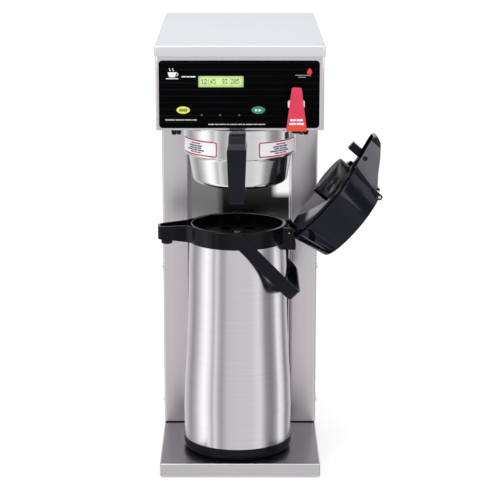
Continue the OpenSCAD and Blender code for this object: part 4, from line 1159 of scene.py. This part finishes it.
def bail_handle():
    """The bail: a flat band bent round the airpot, with round ends on two studs."""
    half = 74 * MM
    reach = 115 * MM
    thick, wide = 3.5 * MM, 19 * MM
    path = rounded(corners(0, reach, -half, half), [0, 14, 14, 0], closed=False, steps=12)
    path = beside(path, -thick / 2)
    band = prism("bail_band", strip(path, thick), "xy", -wide / 2, wide / 2)
    bevel(band, 1.1, 3)
    for side in (-1, 1):
        disc = turned("disc", rounded(corners(0, wide / 2, 0, thick), [0, 0.9, 0.9, 0]),
            (0, side * (half - thick / 2), 0), (0, side, 0))
        stud = rod("stud", 4, 7, (0, side * (half - thick / 2 + 1 * MM), 0), (0, -side, 0))
        unite(band, disc, stud)
    place = Matrix.Translation(BAIL_PIVOT) @ Matrix.Rotation(BAIL_DROP, 4, "Y")
    piece(moved(band, place), "black", "bail", ["bail_handle"])


# ---- airpot lid: drawn shut, then swung open ----


LID_PLACE = about(LID_HINGE, LID_OPEN, "Y")
LID_AXIS = Vector((4.5 * MM, POT_AXIS.y, 0))
LID_BASE = 355 * MM
LID_TOP = 414 * MM
PUMP_HINGE = LID_PLACE.inverted() @ JOINTS["pump_lever"]


def lid_round(name, shrink, base):
    """A round solid in the lid's shape: a tapered wall under a shallow crown."""
    wall = 70.5 * MM - shrink
    crown = [(r * MM, LID_TOP - shrink - (r * MM) ** 2 / (800 * MM)) for r in (50, 40, 30, 20, 10,
        0)]
    path = [(0, base), (wall, base), (wall - 10.7 * MM, 409.3 * MM - shrink)] + crown
    return lathe(name, rounded(path, [0, 0.9, 3.5] + [0] * 6, steps=8), LID_AXIS, 192)


def side_prism(name, points, half, radii=0.0):
    """A solid of constant width about the lid's middle, from its side outline in millimetres."""
    points = [(x * MM, z * MM) for x, z in points]
    if radii:
        points = rounded(points, radii)
    return prism(name, points, "xz", POT_AXIS.y - half * MM, POT_AXIS.y + half * MM)


def lid_shell():
    """The domed shell of the lid with its nose, hinge arm and the ears of the pump lever."""
    y = POT_AXIS.y
    hx = PUMP_HINGE.x / MM
    shell = lid_round("lid_round", 0, LID_BASE)
    lip = corners(67.6 * MM, 71 * MM, 355 * MM, 357.8 * MM)
    unite(shell, lathe("lip", rounded(lip, [0.5, 0.8, 0.6, 0]), LID_AXIS, 192))
    nose = side_prism("nose", [(-40, 355), (-62, 355), (-100, 347.2), (-109, 346.2), (-113, 350),
        (-110, 359), (-94, 372.5), (-76, 385), (-55, 402), (-40, 411.4)], 20,
        [0, 3, 8, 3, 3, 5, 20, 20, 20, 0])
    overlap(nose, prism("plan", rounded(corners(-113 * MM, 0, y - 20 * MM, y + 20 * MM),
        [9, 0, 0, 9]), "xy", 340 * MM, 420 * MM))
    bevel(nose, 1.3, 4, 40)
    arm_x, arm_z = LID_HINGE.x / MM, LID_HINGE.z / MM
    arm = side_prism("arm", corners(62, arm_x + 2, arm_z, 368), 24.4)
    barrel = rod("barrel", 5, 48.8, (LID_HINGE.x, y - 24.4 * MM, LID_HINGE.z), (0, 1, 0))
    unite(shell, nose, bevel(arm, 0.8, 2), barrel)
    for side in (-1, 1):
        ear = prism("ear", rounded(corners(PUMP_HINGE.x - 4 * MM, PUMP_HINGE.x + 4 * MM, 394 * MM,
            PUMP_HINGE.z + 4 * MM), [0, 0, 3, 3]), "xz", y + side * 25 * MM - 2 * MM,
            y + side * 25 * MM + 2 * MM)
        unite(shell, ear)
        notch = rod("notch", 12.5, 7.2, (LID_HINGE.x, y + side * 24.6 * MM, LID_HINGE.z),
            (0, side, 0))
        cut(shell, notch)
    room = side_prism("nose_room", [(-40, 345), (-107, 341), (-110, 350.5), (-107.3, 357.8),
        (-92.2, 369.9), (-74.2, 382.4), (-53.2, 399.4), (-40, 407.8)], 17.5)
    overlap(room, prism("plan", rounded(corners(-110.4 * MM, 0, y - 17.5 * MM, y + 17.5 * MM),
        [7, 0, 0, 7]), "xy", 340 * MM, 420 * MM))
    pocket = side_prism("pocket", corners(hx - 6, 45, 398, 440), 22.5)
    pin = rod("pin", 2.55, 80, (LID_HINGE.x, y - 40 * MM, LID_HINGE.z), (0, 1, 0))
    lever_pin = rod("lever_pin", 2, 80, (PUMP_HINGE.x, y - 40 * MM, PUMP_HINGE.z), (0, 1, 0))
    dimple = rod("dimple", 3.4, 4, (-79.4 * MM, y - 22 * MM, 357 * MM), (0, 1, 0))
    cut(shell, lid_round("hollow", 3 * MM, LID_BASE - 5 * MM), room, pocket, pin, lever_pin, dimple)
    two_tone(shell, "gloss", "nose_wall", lambda face: abs(face.normal.y) > 0.99
        and abs(abs(face.center.y - y) - 20 * MM) < 0.1 * MM)
    piece(moved(shell, LID_PLACE), None, "lid", ["lid_shell"], smooth=30)


def pump_housing():
    """The dark housing under the plate: round at the nose, cut straight beside the tube."""
    y = POT_AXIS.y
    rings = []
    for z, share in ((354, 0), (350, 0.05), (345, 0.22), (340, 0.5), (337, 0.72), (335.3, 0.9),
            (334.5, 1.05), (334.5, 1.3)):
        x = -15 - 14 * min(share, 1)
        rx, ry = 40 - 14 * share, 40 - 19 * share
        rings.append([(x * MM + rx * MM * math.cos(a), y + ry * MM * math.sin(a), z * MM)
            for a in [2 * math.pi * i / 64 for i in range(64)]])
    rings[-1] = [(p[0], p[1], p[2] + 0.001 * MM) for p in rings[-1]]
    housing = loft("pump_housing", rings)
    overlap(housing, side_prism("room", corners(-60, -5, 330, 354), 50))
    for i in range(-3, 4):
        cut(housing, prism("groove", rectangle(-30 * MM, y + i * 4.4 * MM, 40 * MM, 1.1 * MM), "xy",
            330 * MM, 335.6 * MM))
    slot = prism("slot", rounded(rectangle(-24 * MM, 344 * MM, 22 * MM, 3.4 * MM), 1.5), "xz",
        y - 50 * MM, y - 28 * MM)
    cut(housing, slot)
    bevel(housing, 0.5, 2, 45)
    return housing


def lid_inner_plate():
    """The plate inside the lid, with the pump's housing, its tip and the pouring nozzle."""
    plate = lathe("lid_plate", rounded(corners(0, 50.5 * MM, 352.5 * MM, 357.2 * MM),
        [0, 1.2, 0, 0]), LID_AXIS, 160)
    piece(moved(plate, LID_PLACE), "grey", "lid")
    flange = lathe("lid_flange", rounded([(50.6 * MM, 353.6 * MM), (54.5 * MM, 353.6 * MM),
        (54.5 * MM, 357 * MM), (66.3 * MM, 357 * MM), (66.3 * MM, 360 * MM), (50.6 * MM, 360 * MM)],
        [0.5, 1, 0.6, 0.5, 0.5, 0.5]), LID_AXIS, 160)
    piece(moved(flange, LID_PLACE), "gloss", "lid", ["lid_inner_plate"])
    piece(moved(pump_housing(), LID_PLACE), "housing", "lid")
    tip = lathe("pump_tip", rounded(corners(3.5 * MM, 8.5 * MM, 335 * MM, 354 * MM),
        [0.4, 1.2, 0, 0]), POT_AXIS, 64)
    piece(moved(tip, LID_PLACE), "gloss", "lid")
    nozzle = bevel(side_prism("nozzle", corners(-84.5, -73, 332, 353), 7), 0.8, 3)
    neck = bevel(side_prism("neck", corners(-84.5, -61, 352, 359), 6.9), 0.5, 2)
    unite(nozzle, neck)
    piece(moved(nozzle, LID_PLACE), "black", "lid")


def pump_lever():
    """The bright pump lever: a pressed plate with rounded edges on its hinge barrel."""
    y = POT_AXIS.y
    hx, hz = PUMP_HINGE.x, PUMP_HINGE.z
    side = [(-58.5, 401.5), (-55.5, 405), (-49, 406), (-36, 414.4), (36, 415.6), (41, 413.6),
        (42.5, 416.6), (36, 419), (-34, 419.3), (-50, 415.5), (-58.5, 409), (-62, 402.5)]
    lever = side_prism("pump_paddle", side, 20.5, [1, 1, 2, 8, 3, 1.3, 1.3, 5, 20, 12, 10, 1.3])
    bevel(lever, 1, 4, 50)
    barrel = rod("barrel", 4, 41, (hx, y - 20.5 * MM, hz), (0, 1, 0))
    foot = rod("foot", 8, 10, (POT_AXIS.x + 6 * MM, y, 406.2 * MM), (0, 0, 1))
    unite(lever, barrel, foot)
    cut(lever, rod("bore", 2.1, 60, (hx, y - 30 * MM, hz), (0, 1, 0)))
    piece(moved(lever, LID_PLACE), "chrome", "pump_lever", ["pump_lever"],
        smooth=40)


# ---- studio ----


def world():
    """A white room with soft panels round it, which the steel shows as upright bands."""
    made = bpy.data.worlds.new("studio")
    bpy.context.scene.world = made
    made.use_nodes = True
    tree = made.node_tree
    tree.nodes.clear()

    def node(kind, inputs=(), **settings):
        return add_node(tree, kind, inputs, **settings)

    x, y, z = node("SeparateXYZ", {0: node("TexCoord").outputs["Generated"]}).outputs
    back = node("Math", {0: y, 1: -1}, operation="MULTIPLY").outputs[0]
    turn = node("Math", {0: x, 1: back}, operation="ARCTAN2").outputs[0]
    share = node("Math", {0: turn, 1: 1 / (2 * math.pi), 2: 0.5}, operation="MULTIPLY_ADD")
    ramp = node("ValToRGB", {0: share.outputs[0]})
    panels = [(-180, 0.95), (-140, 0.6), (-120, 0.35), (-102, 0.6), (-90, 1.0), (-78, 1.3),
        (-66, 1.0), (-57, 0.52), (-50, 0.9), (-42, 0.52), (-35, 0.4), (-22, 0.66), (0, 0.7),
        (28, 0.7), (50, 0.85), (58, 0.6), (66, 0.34), (80, 0.26), (92, 0.45), (102, 1.05),
        (114, 0.85), (128, 0.25), (150, 0.6), (180, 0.95)]
    stops = ramp.color_ramp
    while len(stops.elements) > 1:
        stops.elements.remove(stops.elements[-1])
    for i, (azimuth, level) in enumerate(panels):
        stop = stops.elements[0] if i == 0 else stops.elements.new(1)
        stop.position = azimuth / 360 + 0.5
        stop.color = (level, level, level, 1)
    overhead = node("MapRange", {"Value": z, "From Min": 0.5, "From Max": 0.85}).outputs[0]
    blend = node("Mix", {0: overhead, 6: ramp.outputs[0], 7: (1, 1, 1, 1)}, data_type="RGBA")
    room = node("Background", {"Color": blend.outputs[2]})
    plain = node("Background", {"Color": (1, 1, 1, 1)})
    seen = node("LightPath").outputs["Is Camera Ray"]
    choice = node("MixShader", {0: seen, 1: room.outputs[0], 2: plain.outputs[0]})
    node("OutputWorld", {"Surface": choice.outputs[0]})


def floor():
    """A plain pale floor, wide enough to fill the view."""
    bm = bmesh.new()
    bmesh.ops.create_grid(bm, x_segments=1, y_segments=1, size=30)
    ground = object_from("floor", bm)
    s = Shader("floor_white", (0.82, 0.82, 0.82), 0.9, Emission_Color=(1, 1, 1, 1),
        Emission_Strength=0.34)
    ground.data.materials.append(s.material)
    ground.visible_glossy = False


def lamp(name, place, target, size, power):
    """A soft area light."""
    data = bpy.data.lights.new(name, "AREA")
    data.shape = "RECTANGLE"
    data.size, data.size_y = size
    data.energy = power
    light = bpy.data.objects.new(name, data)
    light.location = place
    light.rotation_euler = (Vector(target) - Vector(place)).to_track_quat("-Z", "Y").to_euler()
    light.visible_camera = False
    bpy.context.scene.collection.objects.link(light)


def lights():
    middle = (0, 0, 0.35)
    lamp("key", (-1.5, -1.7, 1.7), middle, (0.9, 1.4), 16)
    lamp("fill", (1.7, -1.5, 1.2), middle, (0.8, 1.2), 6)
    lamp("top", (0, -0.1, 2.1), middle, (1.2, 1.2), 10)


def camera():
    """The photograph's view: a long lens a little above, tilted down."""
    data = bpy.data.cameras.new("camera")
    data.lens = 132.2
    data.sensor_width = 36
    data.shift_x = 0.0201
    data.clip_end = 100
    made = bpy.data.objects.new("camera", data)
    made.location = (0, -2.675, 0.929)
    made.rotation_euler = (math.radians(90 - 13.544), 0, 0)
    bpy.context.scene.collection.objects.link(made)
    bpy.context.scene.camera = made


bpy.context.scene.view_settings.view_transform = "Standard"
paint_cad_nodes()
for build in (base_pan, top_cover, column_front_panel, rail_stops, head_front_frame, panel_screws,
        control_overlay, overlay_marks, display, indicator_lights, faucet_lever, faucet_parts,
        brew_funnel, funnel_handle, funnel_labels, airpot_body, airpot_base_ring, airpot_collar,
        hinge_pin, bail_handle, lid_shell, lid_inner_plate, pump_lever):
    build()
for node, tint in BUTTONS.items():
    push_button(node, tint)
world()
floor()
lights()
camera()
